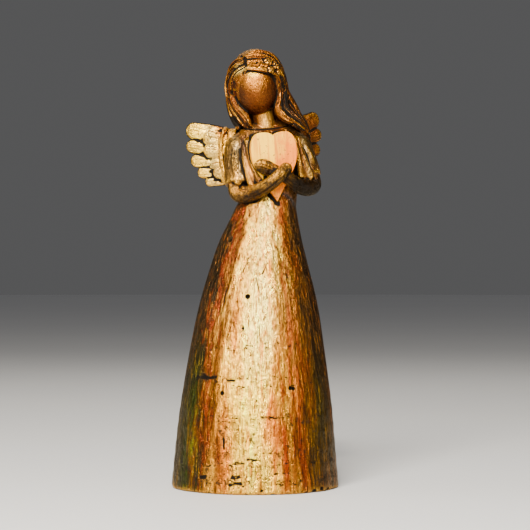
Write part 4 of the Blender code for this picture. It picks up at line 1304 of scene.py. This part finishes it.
# painted shade from the hollows joins the dark strand lines, blotches and tool marks, all laid on as near
# black
shadeAndGrime = g.plus(g.larger(hollowIn, hairLines), g.times(g.minus(blotches, 0.5), 0.9))
toolMarks = g.noise(430, (0.6, 0.6, 1.7), 5, 0.7, 0.4)
shadeAndGrime = g.plus(shadeAndGrime, g.times(toolIn, g.times(g.steps(toolMarks, 0.51, 0.64), 0.8)))
shadeAndGrime = g.steps(shadeAndGrime, 0.24, 0.60)
tinted = g.mix(shadeAndGrime, tinted, opaque(paints["black"]))
patches = g.noise(330, (1, 1, 0.8), 6, 0.78)
patchShare = g.times(g.steps(g.plus(patches, g.times(speckIn, 0.13)), 0.66, 0.70), 0.85)
speckShare = g.times(g.steps(g.plus(specks, g.times(speckIn, 0.10)), 0.70, 0.76), 0.85)
speckShare = g.larger(speckShare, patchShare)
tinted = g.mix(speckShare, tinted, opaque(paints["black"] * 1.5))
g.link(tinted, shader.inputs["Base Color"])
shadeGrimeAndSpecks = g.larger(shadeAndGrime, speckShare)
g.link(g.minus(metal["metallic"], g.times(shadeGrimeAndSpecks, 0.50)), shader.inputs["Metallic"])
rough = g.plus(metal["roughness"], g.times(g.steps(streaks, 0.3, 0.7), 0.18))
g.link(g.plus(rough, g.times(shadeGrimeAndSpecks, 0.30)), shader.inputs["Roughness"])
g.link(g.minus(0.5, g.times(shadeGrimeAndSpecks, 0.38)), shader.inputs["Specular IOR Level"])
shader.inputs["Specular Tint"].default_value = opaque(metal["shine"])
relief = g.bump(g.times(g.minus(brushHairs, 0.5), reliefIn), 1.0, metal["hairRelief"])
relief = g.bump(g.times(g.minus(streaks, 0.5), reliefIn), 1.0, metal["streakRelief"], relief)
relief = g.bump(g.times(g.minus(lumps, 0.5), reliefIn), 1.0, metal["lumpRelief"], relief)
relief = g.bump(g.plus(speckShare, shadeAndGrime), 0.4, metal["shadeAndGrimeRelief"], relief)
g.link(relief, shader.inputs["Normal"])

wood = {
    "cream": (0.99, 0.53, 0.012),
    "salmon": (0.82, 0.195, 0.002),
    "grain": (0.58, 0.13, 0.004),
    "spot": (0.12, 0.05, 0.03),
    "roughness": 0.6,  # of the grain's noise
}
woodMaterial, tree, shader = newMaterial("barePaleWood")
g = Graph(tree)
tilt = math.radians(-pose["bustLean"] + heart["tilt"])
coordinates = tree.nodes.new("ShaderNodeTexCoord")
mapping = tree.nodes.new("ShaderNodeMapping")
mapping.vector_type = "TEXTURE"
mapping.inputs["Location"].default_value = tuple(heartPlace.translation)
mapping.inputs["Rotation"].default_value = (0, tilt, 0)
g.link(coordinates.outputs["Object"], mapping.inputs["Vector"])
axes = tree.nodes.new("ShaderNodeSeparateXYZ")
g.link(mapping.outputs[0], axes.inputs[0])


def grain(scale, stretch, detail):
    return g.noise(scale, stretch, detail, wood["roughness"], source=mapping.outputs[0])


fibres = grain(900, (1, 1, 0.06), 4)
figureLines = grain(240, (1, 1, 0.10), 2)
mottle = grain(260, (1, 1, 0.8), 3)
warm = g.plus(g.times(axes.outputs[0], 70.0), g.times(axes.outputs[2], -26.0))
warm = g.steps(g.plus(warm, g.times(g.minus(mottle, 0.5), 2.0)), -0.40, 0.42)
woodTone = g.mix(warm, opaque(wood["cream"]), opaque(wood["salmon"]))
woodTone = g.mix(g.times(g.steps(fibres, 0.48, 0.68), 0.65), woodTone, opaque(wood["grain"]))
woodTone = g.mix(g.times(g.steps(figureLines, 0.50, 0.66), 0.50), woodTone, opaque(wood["grain"]))
spots = grain(800, (1, 1, 1), 2)
woodTone = g.mix(g.times(g.steps(spots, 0.64, 0.70), 0.75), woodTone, opaque(wood["spot"]))
g.link(woodTone, shader.inputs["Base Color"])
g.link(g.plus(0.55, g.times(fibres, 0.2)), shader.inputs["Roughness"])
shader.inputs["Specular IOR Level"].default_value = 0.25
shader.inputs["Specular Tint"].default_value = opaque((1.0, 0.80, 0.50))
g.link(g.bump(mottle, 0.5, 0.00030, g.bump(fibres, 0.5, 0.00020)), shader.inputs["Normal"])

for piece, material in ((figure, paintMaterial), (heartPiece, woodMaterial)):
    piece.data.materials.clear()
    piece.data.materials.append(material)

print("stage 13: frame, floor, lights and camera")

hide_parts("angel_figure")
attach(figure, "root")
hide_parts("wooden_heart")
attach(heartPiece, "root")

nothingSelected()
bpy.ops.mesh.primitive_circle_add(vertices=96, radius=6, fill_type="NGON", location=(0, 0, -0.0002))
floor = bpy.context.object
floor.name = "studioFloor"
settle()
floorMaterial, tree, shader = newMaterial("paleStudioFloor")
g = Graph(tree)
g.link(g.mix(g.noise(3.0, detail=2), opaque((0.58, 0.58, 0.59)), opaque((0.62, 0.62, 0.63))),
    shader.inputs["Base Color"])
shader.inputs["Roughness"].default_value = 0.75
floor.data.materials.append(floorMaterial)

view = {
    "distance": 0.930,
    "height": 0.101,
    "aside": 0.0046,
    "lens": 138.0,
}
rightSide, toward = Vector(rightWay), Vector(towardWay)
aim = rightSide * view["aside"] + Vector((0, 0, view["height"]))
bpy.ops.object.camera_add(location=aim + toward * view["distance"], rotation=(math.pi / 2, 0, viewAngle))
camera = bpy.context.object
camera.data.lens = view["lens"]
camera.data.sensor_width = 36
bpy.context.scene.camera = camera

lights = {  # sideways, toward the camera, up, width, height, watts
    "key": (-0.20, 0.85, 0.60, 0.42, 0.70, 33.0),
    "small": (-0.05, 0.80, 0.85, 0.10, 0.10, 11.0),
    "fill": (0.85, 0.35, 0.40, 0.50, 0.70, 1.3),
    "side": (-0.90, 0.00, 0.40, 0.40, 0.80, 2.4),
    "back": (-0.05, -0.70, 0.80, 0.60, 0.60, 2.6),
}
room = {
    "lightColour": (1.0, 0.94, 0.83),
    "sun": 0.31,
    "sunSoftness": 30,  # degrees
    "grey": (0.61, 0.61, 0.62, 1),
    "strength": 0.16,
}
for name, (aside, near, up, width, tall, watts) in lights.items():
    spot = rightSide * aside + toward * near + Vector((0, 0, up))
    look = (Vector((0, 0, 0.10)) - spot).to_track_quat("-Z", "Y").to_euler()
    bpy.ops.object.light_add(type="AREA", location=spot, rotation=look)
    light = bpy.context.object
    light.name = name + "Light"
    light.data.shape = "RECTANGLE"
    light.data.size, light.data.size_y = width, tall
    light.data.energy = watts
    light.data.color = room["lightColour"]
bpy.ops.object.light_add(type="SUN", rotation=(math.radians(40), 0, viewAngle - 0.5))
bpy.context.object.name = "roomLight"
bpy.context.object.data.energy = room["sun"]
bpy.context.object.data.angle = math.radians(room["sunSoftness"])
world = bpy.data.worlds.new("softRoom")
world.use_nodes = True
world.node_tree.nodes["Background"].inputs["Color"].default_value = room["grey"]
world.node_tree.nodes["Background"].inputs["Strength"].default_value = room["strength"]
bpy.context.scene.world = world
